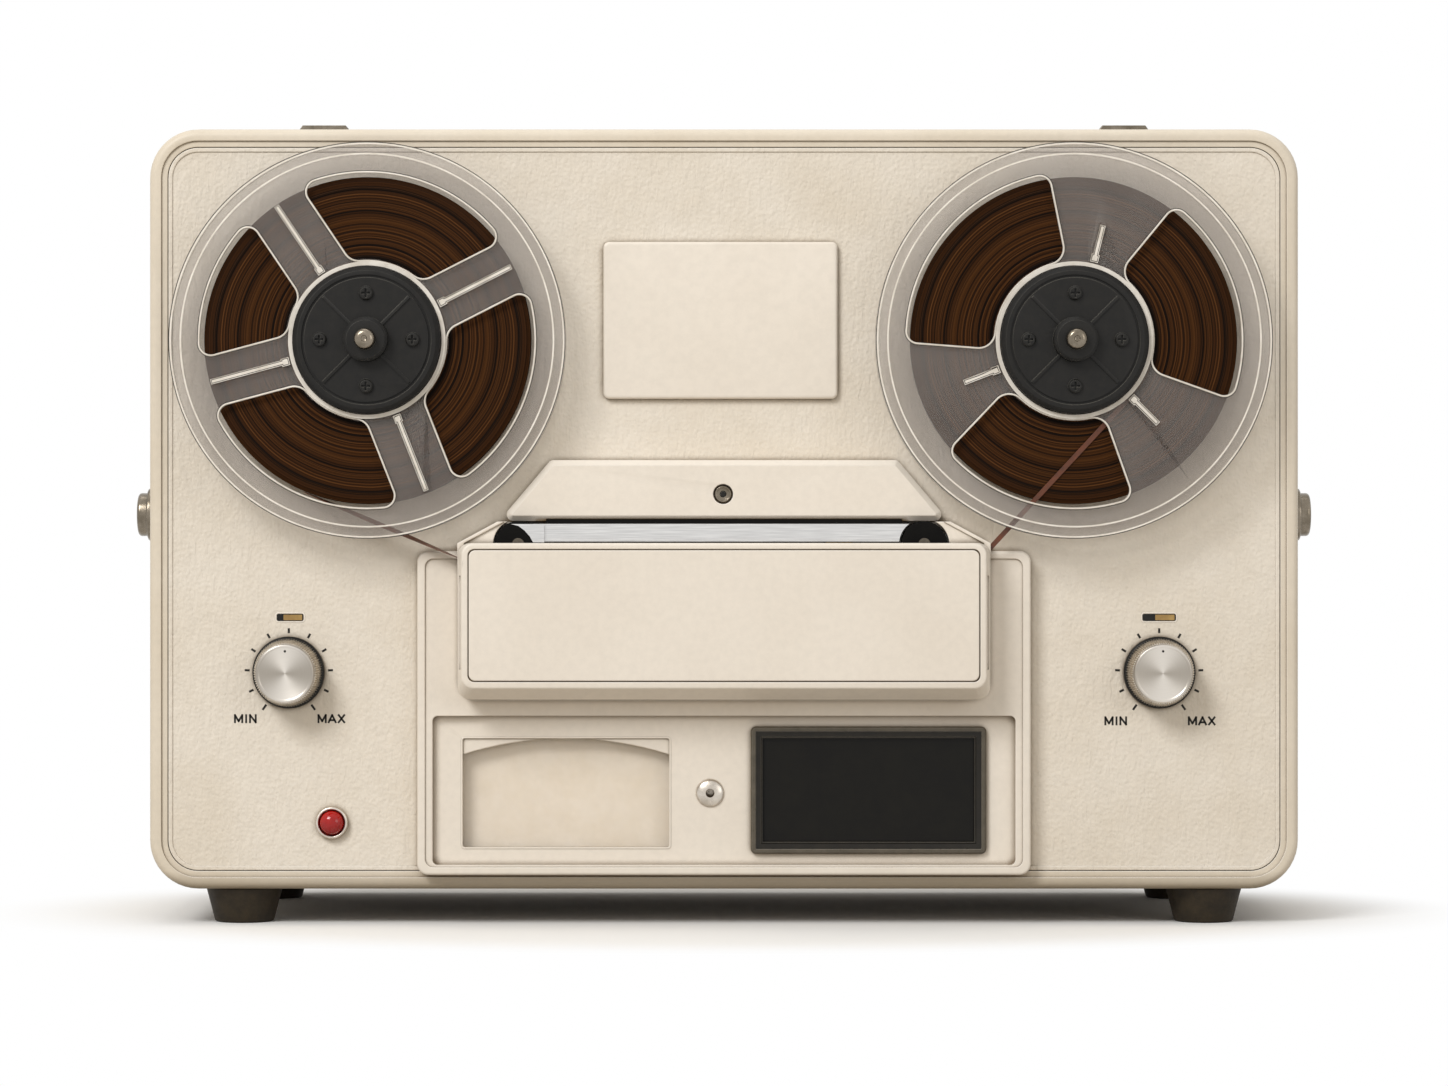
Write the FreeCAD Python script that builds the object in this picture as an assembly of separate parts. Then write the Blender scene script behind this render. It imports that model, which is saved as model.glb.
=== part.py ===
import FreeCAD, Part
import math
import os

from FreeCAD import Vector

# Tape echo unit with two open reels, standing upright on four feet.
# Millimetres. +X is to the right of someone facing the unit, +Z is up and the front faces -Y.
# The origin is the centre of the unit's bounding box in plan, at the level of the feet's soles.
# "Depth" is measured back from the cabinet's front plane, so anything proud of it is negative.

# --- Cabinet ---
CASE_WIDTH = 520.0
CASE_HEIGHT = 344.0
CASE_DEPTH = 195.0
CASE_CORNER = 22.0
LEAST_CORNER = 1.0
CASE_EDGE_ROUND = 3.5
FOOT_HEIGHT = 16.0
WALL = 4.0
RIM_BAND = 5.4
RIM_WIDTH = 8.2
RIM_STEP = 0.9
LIP_THICKNESS = 5.0
FIT_GAP = 0.3
REAR_LEDGE_WIDTH = 8.0
REAR_LEDGE_THICKNESS = 3.0
OVERCUT = 1.0

# --- Deck panel ---
DECK_DEPTH = 1.5
DECK_THICKNESS = 3.0
DECK_BEAD_WIDTH = 1.9
DECK_BEAD_HEIGHT = 0.5
DECK_FLANGE_THICKNESS = 3.0
DECK_RETURN_WIDTH = 3.0
BOSS_RADIUS = 4.0

# --- Rear cover ---
COVER_THICKNESS = 3.0
COVER_RECESS = 1.0
REAR_SCREW_SHIFT = 0.5
REAR_SCREW_SPREAD = 0.72
VENT_WIDTH = 3.0
VENT_HEIGHT = 46.0
VENT_PITCH = 9.0
VENTS_PER_ROW = 18
VENT_ROW_Z = 285.0

# --- Pan-head screws, all one size ---
SCREW_HEAD_RADIUS = 2.8
SCREW_HEAD_HEIGHT = 2.0
SCREW_RADIUS = 1.5
SCREW_LENGTH = 7.0
SCREW_HOLE_GAP = 0.1
CROSS_WIDTH = 0.9
CROSS_DEPTH = 1.2

# --- Feet ---
FOOT_TOP_RADIUS = 17.5
FOOT_SOLE_RADIUS = 13.3
FOOT_SOLE_ROUND = 1.5
FOOT_INSET = 41.0
FRONT_FOOT_DEPTH = 21.0
REAR_FOOT_INSET = 32.0
FOOT_POCKET_RADIUS = 4.5
FOOT_POCKET_DEPTH = 12.0

# --- Lid catches on the top edge ---
CATCH_INSET = 78.6
CATCH_BASE_WIDTH = 22.5
CATCH_TOP_WIDTH = 19.6
CATCH_HEIGHT = 2.1
CATCH_NEAR = 6.0
CATCH_LENGTH = 14.0
CATCH_SLOT_WIDTH = 12.0
CATCH_SLOT_LENGTH = 5.0

# --- Side buttons ---
BUTTON_RADIUS = 9.85
BUTTON_PROUD = 7.6
BUTTON_DEPTH = 24.0
BUTTON_Z = 185.6
BUTTON_COLLAR_RADIUS = 11.6
BUTTON_COLLAR_THICKNESS = 2.0
BUTTON_EDGE_ROUND = 1.6
BEZEL_RADIUS = 12.1
BEZEL_PROUD = 3.2
BEZEL_DISH = 1.2

# --- Chassis plate behind the deck ---
CHASSIS_DEPTH = 22.0
CHASSIS_THICKNESS = 2.0
CHASSIS_SIDE_GAP = 20.0
CHASSIS_TOP_GAP = 12.0
CHASSIS_BOTTOM = 126.0
CHASSIS_FLANGE = 12.0
CHASSIS_SCREW_INSET = 10.0
CHASSIS_MIDDLE_SCREW_X = -30.0

# --- Reels ---
LEFT_REEL_X = -160.0
RIGHT_REEL_X = 157.0
REEL_Z = 263.5
REEL_RADIUS = 89.0
FLANGE_THICKNESS = 2.0
FLANGE_GAP = 8.0
REEL_BACK_PROUD = 7.5
FLANGE_BEAD_HEIGHT = 0.8
FLANGE_BEAD_WIDTH = 1.6
FLANGE_BEAD_PITCH = 4.6
WINDOW_OUTER = 75.0
WINDOW_INNER = 36.0
WINDOW_MIDDLE = 55.0
WINDOW_CORNER = 5.0
WINDOW_ROOT_CORNER = 7.0
SPOKE_OVERRUN = 2.0
# Each spoke: its direction in degrees and its width at WINDOW_MIDDLE. A flare adds width to each mm of radius.
LEFT_SPOKES = ((27.0, 25.0), (124.0, 28.0), (195.0, 23.5), (291.5, 28.0))
LEFT_SPOKE_FLARE = 0.0
RIGHT_SPOKES = ((76.0, 45.0), (201.0, 38.0), (315.0, 50.0))
RIGHT_SPOKE_FLARE = 0.95
RIB_WIDTH = 2.4
RIB_HEIGHT = 0.8
LEFT_RIB_OUTER = 72.5
RIGHT_RIB_OUTER = 53.0
RIB_BLOCK = 3.6
HUB_RADIUS = 33.5
HUB_RING_WIDTH = 1.8
HUB_RING_HEIGHT = 1.0
TAPE_WIDTH = 6.3
TAPE_THICKNESS = 0.3
STRAND_WIDTH = 1.9
STRAND_THICKNESS = 0.5
PACK_RADIUS = 71.5
PACK_GAP = 0.1

# --- Hub clamps and spindles ---
CLAMP_RADIUS = 33.0
CLAMP_SIDE_HEIGHT = 3.6
CLAMP_HEIGHT = 5.6
CLAMP_BEVEL = 2.0
CLAMP_GROOVE_RADIUS = 28.5
CLAMP_GROOVE_WIDTH = 1.2
CLAMP_GROOVE_DEPTH = 1.0
BOSS_TOP_RADIUS = 10.0
CLAMP_BOSS_HEIGHT = 12.4
CLAMP_BOSS_BEVEL = 1.5
CLAMP_RIB_WIDTH = 1.4
CLAMP_RIB_HEIGHT = 0.8
CLAMP_RIB_START = 45.0
CLAMP_REPEATS = 4
CLAMP_SCREW_CIRCLE = 20.8
CLAMP_SCREW_RADIUS = 3.2
CLAMP_SCREW_HEIGHT = 2.0
SPINDLE_RADIUS = 4.0
SPINDLE_TIP_RADIUS = 4.7
SPINDLE_PROUD = 38.0
SPINDLE_DOME = 2.5
SPINDLE_INNER_DEPTH = 58.0
SPINDLE_CLEARANCE = 0.05
PLATTER_RADIUS = 42.0
PLATTER_THICKNESS = 6.2
SHAFT_HOLE_GAP = 2.0

# --- Reel motors ---
REEL_MOTOR_RADIUS = 27.0
REEL_MOTOR_LENGTH = 44.0
MOTOR_NOSE_RADIUS = 10.0
MOTOR_NOSE_LENGTH = 2.0
MOTOR_EDGE = 3.0

# --- Nameplate pad and bridge cover ---
PAD_WIDTH = 105.9
PAD_HEIGHT = 71.0
PAD_X = -1.6
PAD_Z = 273.3
PAD_PROUD = 2.0
PAD_CORNER = 2.7
PAD_BEVEL = 0.8
BRIDGE_SIDE_RUN = 23.2
BRIDGE_TOP_Z = 209.9
BRIDGE_BASE_Z = 182.5
BRIDGE_PROUD = 14.0
BRIDGE_BEVEL = 2.4
BRIDGE_CORNER = 3.0
BRIDGE_WALL = 2.5
BRIDGE_SCREW_X = -0.4
BRIDGE_SCREW_Z = 194.6
BRIDGE_SCREW_HEAD_RADIUS = 3.85
BRIDGE_SCREW_HEAD_HEIGHT = 2.4
BRIDGE_SCREW_POCKET_RADIUS = 4.5
BRIDGE_SCREW_POCKET_DEPTH = 2.6
BRIDGE_BOSS_WALL = 1.5

# --- Guide rollers and tape shield ---
LEFT_ROLLER_INSET = 9.2
RIGHT_ROLLER_INSET = 11.7
ROLLER_Z = 172.1
ROLLER_FLANGE_RADIUS = 10.4
ROLLER_WAIST_RADIUS = 7.5
ROLLER_BACK_PROUD = 7.0
ROLLER_FRONT_PROUD = 19.0
ROLLER_TAPE_GAP = 0.4
PIN_RADIUS = 1.5
PIN_HEAD_RADIUS = 2.7
PIN_HEAD_HEIGHT = 0.8
PIVOT_HEAD_SHARE = 1.6
PIN_CLEARANCE = 0.05
SHIELD_BOTTOM = 173.1
SHIELD_TOP = 181.2
SHIELD_PROUD = 18.2
SHIELD_SHEET = 1.2
SHIELD_ROLLER_GAP = 0.8

# --- Head housing, plate and cover ---
HOUSING_HALF_WIDTH = 119.5
HOUSING_BOTTOM = 102.2
HOUSING_SHOULDER_Z = 172.5
HOUSING_SHOULDER_WIDTH = 18.0
HOUSING_TOP = 182.2
HOUSING_WALL = 3.0
HOUSING_FLOOR = 2.0
HOUSING_PROUD = 20.0
HOUSING_CORNER = 8.0
CHEEK_BOTTOM = 166.0
CHEEK_STEP = 1.0
CHEEK_TAPE_GAP = 1.4
CHEEK_ROLLER_GAP = 0.8
TAPE_PORT_HEIGHT = 5.0
TAPE_PORT_BACK_SPACE = 1.0
TAPE_PORT_FRONT_SPACE = 2.0
LEFT_PORT_Z = 165.4
RIGHT_PORT_Z = 170.4
PLATE_SIDE_MARGIN = 13.5
PLATE_BOTTOM = 112.0
PLATE_TOP = 177.0
PLATE_THICKNESS = 3.0
PLATE_CORNER = 3.0
COVER_TAPER = 2.3
COVER_TOP = 172.6
COVER_BOTTOM = 107.8
COVER_PROUD = 28.0
COVER_WALL = 2.4
COVER_CORNER = 5.4
COVER_SEAT_GAP = 0.2
COVER_EDGE_ROUND = 1.2
COVER_TRAVEL_TAB = 6.0
COVER_TAB_WIDTH = 2.0
COVER_TAB_BOTTOM = 124.0
COVER_TAB_TOP = 150.0
GRIP_BOTTOM = 116.0
GRIP_TOP = 158.0
GRIP_DEPTH = 1.2
GRIP_WIDTH = 3.6
INSET_MARGIN = 2.7
INSET_THICKNESS = 1.4
INSET_POCKET = 1.2
INSET_GROOVE = 0.5
INSET_CORNER = 3.0

# --- Heads ---
HEAD_COUNT = 5
ROLLER_TO_FIRST_HEAD = 28.3
LAST_HEAD_TO_CAPSTAN = 28.0
ERASE_HEAD_WIDTH = 9.0
HEAD_WIDTH = 13.0
HEAD_HEIGHT = 18.0
HEAD_NOSE_ROUND = 4.4
HEAD_TAPE_GAP = 0.1
HEAD_PROUD = 17.0
HEAD_NOSE_SHARE = 0.45

# --- Capstan drive ---
CAPSTAN_TO_ROLLER = 37.8
CAPSTAN_CHAMFER = 0.6
CAPSTAN_RADIUS = 3.0
CAPSTAN_PROUD = 18.0
CAPSTAN_CLEARANCE = 0.04
BEARING_RADIUS = 8.0
BEARING_PROUD = 3.8
BEARING_FLANGE_RADIUS = 13.0
BEARING_FLANGE_THICKNESS = 2.0
BEARING_END_DEPTH = 56.0
FLYWHEEL_RADIUS = 42.0
FLYWHEEL_DEPTH = 58.0
FLYWHEEL_THICKNESS = 12.0
FLYWHEEL_RIM_WIDTH = 9.0
FLYWHEEL_WEB_RECESS = 4.0
FLYWHEEL_HUB_RADIUS = 9.0
SHAFT_TAIL = 4.0
DRIVE_CENTRES = 110.0
MOTOR_RADIUS = 24.0
MOTOR_LENGTH = 33.0
MOTOR_SHAFT_RADIUS = 1.5
MOTOR_END_BOSS_RADIUS = 6.0
MOTOR_END_BOSS_HEIGHT = 1.5
PULLEY_RADIUS = 7.0
PULLEY_FLANGE_RADIUS = 9.0
PULLEY_FLANGE_THICKNESS = 1.0
BELT_WIDTH = 5.0
BELT_THICKNESS = 1.0
BELT_GAP = 0.3

# --- Pinch roller ---
PINCH_ARM_LENGTH = 26.0
PINCH_RELEASE = 5.0
PINCH_ROLLER_RADIUS = 9.0
PINCH_TAPE_GAP = 0.35
PINCH_AXLE_RADIUS = 2.0
PINCH_PIVOT_RADIUS = 2.5
PINCH_ARM_THICKNESS = 3.0
PINCH_ARM_BACK_PROUD = 4.2
PINCH_ARM_PIVOT_END = 6.0
PINCH_ARM_ROLLER_END = 5.0

# --- Knobs ---
KNOB_INSET = 63.0
KNOB_Z = 114.0
KNOB_RING_RADIUS = 16.3
KNOB_RING_PROUD = 2.0
KNOB_RING_CHAMFER = 0.8
KNOB_SKIRT_RADIUS = 14.6
KNOB_FACE_RADIUS = 13.3
KNOB_GAP = 0.5
KNOB_PROUD = 18.0
KNOB_COLLAR_HEIGHT = 1.6
KNURL_COUNT = 44
KNURL_DEPTH = 0.8
KNOB_CAP_HEIGHT = 2.2
KNOB_CAP_DISH = 0.5
KNOB_DOT_CIRCLE = 10.0
KNOB_DOT_RADIUS = 1.1
KNOB_DOT_DEPTH = 0.6
POT_SHAFT_RADIUS = 3.0
POT_BUSH_RADIUS = 3.6
POT_BODY_RADIUS = 8.5
POT_BODY_LENGTH = 11.0
POT_CLEARANCE = 0.05

# --- Slot lenses above the knobs ---
LEFT_SLOT_INSET = 63.6
RIGHT_SLOT_INSET = 63.0
SLOT_Z = 138.9
LEFT_SLOT_WIDTH = 11.5
RIGHT_SLOT_WIDTH = 14.6
SLOT_HEIGHT = 3.2
SLOT_LENS_RECESS = 0.5
SLOT_LENS_DEPTH = 6.5
SLOT_LENS_GAP = 0.15
SLOT_FLANGE_MARGIN = 2.0

# --- Pilot lamp ---
LAMP_INSET = 82.6
LAMP_Z = 46.1
LAMP_BEZEL_RADIUS = 7.25
LAMP_BEZEL_PROUD = 2.0
LAMP_SEAT_HEIGHT = 1.0
LAMP_LIP_WIDTH = 0.8
LAMP_LIP_RISE = 0.6
LAMP_LENS_RADIUS = 5.45
LAMP_LENS_PROUD = 5.0
LAMP_DOME_SHARE = 0.75
LAMP_BARREL_RADIUS = 5.0
LAMP_BARREL_LENGTH = 14.0
LAMP_GAP = 0.2

# --- Lower control panel ---
PANEL_ARM_WIDTH = 18.8
PANEL_BOTTOM = 22.9
PANEL_TOP = 169.0
PANEL_PROUD = 8.0
PANEL_CORNER = 5.0
PANEL_RIM = 3.5
PANEL_RIM_STEP = 0.9
PANEL_EDGE_ROUND = 1.2
BAY_SIDE_MARGIN = 6.8
BAY_BOTTOM = 27.3
BAY_TOP = 94.6
BAY_PROUD = 3.0
BAY_CORNER = 2.5

# --- Meter ---
METER_SIDE_MARGIN = 13.5
METER_RIGHT = -24.7
METER_BOTTOM = 35.2
METER_TOP = 84.3
METER_ARC_RADIUS = 154.0
METER_CORNER = 1.2
METER_STEP = 0.8
METER_GLASS_THICKNESS = 1.0
METER_GLASS_PROUD = 1.0
METER_MARGIN = 9.0
METER_FACE_DEPTH = 5.0
METER_FACE_THICKNESS = 0.6
METER_CASE_DEPTH = 34.0
METER_CASE_WALL = 1.6
METER_PIVOT_Z = 31.4
MOVEMENT_HALF_WIDTH = 16.0
MOVEMENT_HEIGHT = 34.0
NEEDLE_OVERHANG = 1.35
NEEDLE_STAFF_RADIUS = 0.75
NEEDLE_STAFF_LENGTH = 5.0
NEEDLE_WIDTH = 0.7
NEEDLE_THICKNESS = 0.4
NEEDLE_FACE_GAP = 1.2
NEEDLE_HUB_RADIUS = 2.4
NEEDLE_REST_ANGLE = 176.5

# --- Dark window ---
WINDOW_LEFT = 12.1
WINDOW_SIDE_MARGIN = 13.1
WINDOW_BOTTOM = 32.3
WINDOW_TOP = 89.8
WINDOW_FRAME_SIDE = 5.6
WINDOW_FRAME_PROUD = 6.0
WINDOW_BEVEL = 2.0
WINDOW_FRAME_CORNER = 2.5
GLASS_THICKNESS = 2.0
GLASS_LAP = 1.5

# --- Small jack on the panel ---
JACK_X = -6.3
JACK_Z = 59.7
JACK_DOME_RADIUS = 6.25
JACK_DOME_HEIGHT = 2.4
JACK_BORE_RADIUS = 1.8
JACK_BARREL_RADIUS = 4.0
JACK_LENGTH = 20.0
JACK_DOME_FLAT = 2.0
JACK_DOME_EDGE = 0.8
JACK_BODY_GAP = 2.0
JACK_BODY_STEP = 1.5
JACK_END_WALL = 2.0

# --- Rear connectors ---
REAR_JACK_INSETS = (70.0, 110.0)
REAR_JACK_Z = 70.0
REAR_BORE_RADIUS = 3.25
REAR_BARREL_RADIUS = 5.0
REAR_NUT_RADIUS = 7.5
REAR_NUT_THICKNESS = 2.5
REAR_BARREL_PROUD = 4.5
REAR_JACK_LENGTH = 28.0
REAR_BODY_RADIUS = 8.0
INLET_INSET = 75.0
INLET_Z = 62.0
INLET_FLANGE_WIDTH = 50.0
INLET_FLANGE_HEIGHT = 24.0
INLET_FLANGE_PROUD = 3.0
INLET_FLANGE_CORNER = 3.0
INLET_BODY_WIDTH = 28.0
INLET_BODY_HEIGHT = 20.5
INLET_BODY_DEPTH = 24.0
INLET_MOUTH_WIDTH = 24.4
INLET_MOUTH_HEIGHT = 16.8
INLET_MOUTH_DEPTH = 17.0
INLET_CHAMFER = 4.5
INLET_PIN_LENGTH = 14.0
INLET_PIN_WIDTH = 2.0
INLET_PIN_HEIGHT = 4.0
INLET_PIN_SPACING = 7.0
INLET_EARTH_RISE = 4.0

# --- Power supply and circuit board ---
TRANSFORMER_X = 120.0
TRANSFORMER_NEAR = 96.0
CORE_WIDTH = 66.0
CORE_DEPTH = 28.0
CORE_HEIGHT = 56.0
COIL_WIDTH = 40.0
COIL_DEPTH = 48.0
COIL_HEIGHT = 34.0
TAB_WIDTH = 12.0
TAB_THICKNESS = 2.0
BOARD_SIDE_GAP = 56.0
BOARD_RIGHT = 70.0
BOARD_NEAR = 74.0
BOARD_FAR = 158.0
BOARD_THICKNESS = 1.6
BOARD_POST_HEIGHT = 9.0
BOARD_POST_RADIUS = 3.5
BOARD_POST_INSET = 8.0
CAPACITOR_RADIUS = 9.0
CAPACITOR_HEIGHT = 26.0
CAPACITOR_COUNT = 2
CAPACITOR_INSET = 25.0
CAPACITOR_PITCH = 25.0
CHIP_COUNT = 5
CHIP_INSET = 30.0
CHIP_PITCH = 35.0
CHIP_LENGTH = 20.0
CHIP_WIDTH = 7.0
CHIP_HEIGHT = 4.0

# --- Worked out from the sizes above ---
CASE_BASE = FOOT_HEIGHT
CASE_TOP = CASE_BASE + CASE_HEIGHT
CASE_SIDE = CASE_WIDTH / 2
REAR_REACH = REAR_BARREL_PROUD - COVER_RECESS
FRONT_Y = SPINDLE_PROUD - (SPINDLE_PROUD + CASE_DEPTH + REAR_REACH) / 2
FLOOR_Z = CASE_BASE + WALL
FLANGE_MARGIN = WALL + FIT_GAP
DECK_MARGIN = RIM_WIDTH + FIT_GAP
DECK_BACK = DECK_DEPTH + DECK_THICKNESS
COVER_NEAR = CASE_DEPTH - COVER_RECESS - COVER_THICKNESS
COVER_FAR = CASE_DEPTH - COVER_RECESS
REAR_SCREW_MARGIN = WALL + REAR_LEDGE_WIDTH / 2 + REAR_SCREW_SHIFT
SCREW_HOLE_RADIUS = SCREW_RADIUS + SCREW_HOLE_GAP
FOOT_X = CASE_SIDE - FOOT_INSET
REAR_FOOT_DEPTH = CASE_DEPTH - REAR_FOOT_INSET
CATCH_X = CASE_SIDE - CATCH_INSET
CHASSIS_HALF_WIDTH = CASE_SIDE - WALL - CHASSIS_SIDE_GAP
CHASSIS_TOP = CASE_TOP - WALL - CHASSIS_TOP_GAP
CHASSIS_SCREW_SIDE = CHASSIS_HALF_WIDTH - CHASSIS_SCREW_INSET
CHASSIS_SCREW_X = (-CHASSIS_SCREW_SIDE, CHASSIS_MIDDLE_SCREW_X, CHASSIS_SCREW_SIDE)
CHASSIS_SCREW_Z = (CHASSIS_BOTTOM + CHASSIS_SCREW_INSET, CHASSIS_TOP - CHASSIS_SCREW_INSET)
KNOB_X = CASE_SIDE - KNOB_INSET
LEFT_SLOT_X = -CASE_SIDE + LEFT_SLOT_INSET
RIGHT_SLOT_X = CASE_SIDE - RIGHT_SLOT_INSET
LAMP_X = -CASE_SIDE + LAMP_INSET
LAMP_SEAT = DECK_DEPTH - LAMP_SEAT_HEIGHT
REAR_JACK_X = [inset - CASE_SIDE for inset in REAR_JACK_INSETS]
INLET_X = CASE_SIDE - INLET_INSET
BOARD_LEFT = BOARD_SIDE_GAP + WALL - CASE_SIDE
CAPACITOR_X = [BOARD_RIGHT - CAPACITOR_INSET - CAPACITOR_PITCH * number
               for number in range(CAPACITOR_COUNT)]
CHIP_X = [BOARD_LEFT + CHIP_INSET + CHIP_PITCH * number for number in range(CHIP_COUNT)]
BACK_FLANGE_FRONT = REEL_BACK_PROUD + FLANGE_THICKNESS
FRONT_FLANGE_BACK = BACK_FLANGE_FRONT + FLANGE_GAP
FRONT_FLANGE_FRONT = FRONT_FLANGE_BACK + FLANGE_THICKNESS
TAPE_BACK = BACK_FLANGE_FRONT + FIT_GAP
TAPE_FRONT = TAPE_BACK + TAPE_WIDTH
CLAMP_BASE = FRONT_FLANGE_FRONT + PACK_GAP
HOUSING_TOP_HALF_WIDTH = HOUSING_HALF_WIDTH - HOUSING_SHOULDER_WIDTH
BRIDGE_BASE_HALF_WIDTH = HOUSING_TOP_HALF_WIDTH - FIT_GAP
BRIDGE_TOP_HALF_WIDTH = BRIDGE_BASE_HALF_WIDTH - BRIDGE_SIDE_RUN
PLATE_HALF_WIDTH = HOUSING_HALF_WIDTH - PLATE_SIDE_MARGIN
COVER_HALF_WIDTH = HOUSING_HALF_WIDTH - COVER_TAPER
PANEL_HALF_WIDTH = HOUSING_HALF_WIDTH + PANEL_ARM_WIDTH
BAY_HALF_WIDTH = PANEL_HALF_WIDTH - BAY_SIDE_MARGIN
METER_LEFT = -BAY_HALF_WIDTH + METER_SIDE_MARGIN
METER_X = (METER_LEFT + METER_RIGHT) / 2
METER_WIDTH = METER_RIGHT - METER_LEFT
NEEDLE_LENGTH = METER_WIDTH / 2 + NEEDLE_OVERHANG
WINDOW_RIGHT = BAY_HALF_WIDTH - WINDOW_SIDE_MARGIN
LEFT_ROLLER_X = -HOUSING_TOP_HALF_WIDTH + LEFT_ROLLER_INSET
RIGHT_ROLLER_X = HOUSING_TOP_HALF_WIDTH - RIGHT_ROLLER_INSET
TAPE_TOP = ROLLER_Z - ROLLER_WAIST_RADIUS - FIT_GAP
TAPE_UNDERSIDE = TAPE_TOP - TAPE_THICKNESS
CAPSTAN_X = RIGHT_ROLLER_X - CAPSTAN_TO_ROLLER
CAPSTAN_Z = TAPE_TOP + FIT_GAP + CAPSTAN_RADIUS
MOTOR_X = CAPSTAN_X - DRIVE_CENTRES
FIRST_HEAD_X = LEFT_ROLLER_X + ROLLER_TO_FIRST_HEAD
HEAD_PITCH = (CAPSTAN_X - LAST_HEAD_TO_CAPSTAN - FIRST_HEAD_X) / (HEAD_COUNT - 1)
HEAD_X = [FIRST_HEAD_X + HEAD_PITCH * number for number in range(HEAD_COUNT)]
PLATE_FRONT = HOUSING_FLOOR - DECK_DEPTH + PLATE_THICKNESS
PINCH_X = CAPSTAN_X
PINCH_Z = TAPE_UNDERSIDE - PINCH_TAPE_GAP - PINCH_ROLLER_RADIUS - PINCH_RELEASE
PINCH_PIVOT_X = PINCH_X + PINCH_ARM_LENGTH


def at(x, depth, z):
    """A point, with its depth taken back from the cabinet's front plane."""
    return Vector(x, FRONT_Y + depth, z)


def edges_along(solid, direction):
    """The straight edges that run along a direction."""
    straight = [edge for edge in solid.Edges if isinstance(edge.Curve, Part.Line)]
    return [edge for edge in straight if abs(edge.tangentAt(edge.FirstParameter).dot(direction)) > 0.999]


def edges_at_depth(solid, depth):
    """The edges that lie in the plane at one depth."""
    y = FRONT_Y + depth
    return [edge for edge in solid.Edges
            if abs(edge.BoundBox.YMin - y) < 1e-4 and abs(edge.BoundBox.YMax - y) < 1e-4]


def block(left, right, near, far, bottom, top, corner=0.0):
    """A box, its four corners seen from the front rounded if asked."""
    solid = Part.makeBox(right - left, far - near, top - bottom, at(left, near, bottom))
    if corner > 0:
        solid = solid.makeFillet(corner, edges_along(solid, Vector(0, 1, 0)))
    return solid


def case_block(margin, near, far):
    """A block with the cabinet's outline, drawn in by a margin all round."""
    half = CASE_SIDE - margin
    corner = max(CASE_CORNER - margin, LEAST_CORNER)
    return block(-half, half, near, far, CASE_BASE + margin, CASE_TOP - margin, corner)


def disc(x, z, radius, near, far):
    """A round disc or rod lying along the depth."""
    return Part.makeCylinder(radius, far - near, at(x, near, z), Vector(0, 1, 0))


def ring(x, z, outer, inner, near, far):
    """A disc with a round hole through it."""
    return disc(x, z, outer, near, far).cut(disc(x, z, inner, near, far))


def turned(x, z, profile):
    """A turned piece about a line along the depth, from (radius, depth) points."""
    points = [at(x + radius, depth, z) for radius, depth in profile]
    face = Part.Face(Part.makePolygon(points + points[:1]))
    return face.revolve(at(x, 0, z), Vector(0, 1, 0), 360)


def prism(corners, near, far):
    """A straight-sided piece from (x, z) corners seen from the front."""
    points = [at(x, near, z) for x, z in corners]
    face = Part.Face(Part.makePolygon(points + points[:1]))
    return face.extrude(Vector(0, far - near, 0))


def joined(solids):
    """One solid from pieces that touch or overlap."""
    whole = solids[0]
    for solid in solids[1:]:
        whole = whole.fuse(solid)
    return whole.removeSplitter()


def turned_about(solid, x, z, degrees):
    """A copy swung anticlockwise, seen from the front, about a line along the depth."""
    copy = solid.copy()
    copy.rotate(at(x, 0, z), Vector(0, -1, 0), degrees)
    return copy


def pan_screw(head_radius, head_height, shank_radius, length):
    """A pan-head screw with a cross recess, its head's seat on the origin and facing +Z."""
    head = Part.makeCylinder(head_radius, head_height)
    top_edges = [edge for edge in head.Edges if edge.BoundBox.ZMin > head_height - 1e-4]
    head = head.makeChamfer(head_height * 0.3, top_edges)
    reach = head_radius * 0.6
    floor = head_height - CROSS_DEPTH
    half = CROSS_WIDTH / 2
    across = Part.makeBox(2 * reach, CROSS_WIDTH, CROSS_DEPTH, Vector(-reach, -half, floor))
    along = Part.makeBox(CROSS_WIDTH, 2 * reach, CROSS_DEPTH, Vector(-half, -reach, floor))
    shank = Part.makeCylinder(shank_radius, length, Vector(0, 0, -length))
    return head.cut(across.fuse(along)).fuse(shank)


def placed(solid, seat, outward):
    """A copy with its +Z turned outward and its origin on the seat."""
    copy = solid.copy()
    copy.Placement = FreeCAD.Placement(seat, FreeCAD.Rotation(Vector(0, 0, 1), outward))
    return copy


def touch_point(x, z, radius, from_x, from_z, side):
    """Where a line from a point touches a circle; side +1 is to the left of the way there."""
    away = math.hypot(x - from_x, z - from_z)
    bearing = math.atan2(z - from_z, x - from_x)
    lean = math.asin(radius / away)
    run = math.sqrt(away ** 2 - radius ** 2)
    heading = bearing + side * lean
    return from_x + run * math.cos(heading), from_z + run * math.sin(heading)


def ribbon(start, end, thickness, back, front):
    """A straight stretch of tape on edge between two (x, z) points, from back to front proud."""
    length = math.hypot(end[0] - start[0], end[1] - start[1])
    across_x = -(end[1] - start[1]) / length * thickness / 2
    across_z = (end[0] - start[0]) / length * thickness / 2
    corners = [
        (start[0] + across_x, start[1] + across_z),
        (end[0] + across_x, end[1] + across_z),
        (end[0] - across_x, end[1] - across_z),
        (start[0] - across_x, start[1] - across_z),
    ]
    return prism(corners, -front, -back)


# --- Cabinet ---

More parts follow.
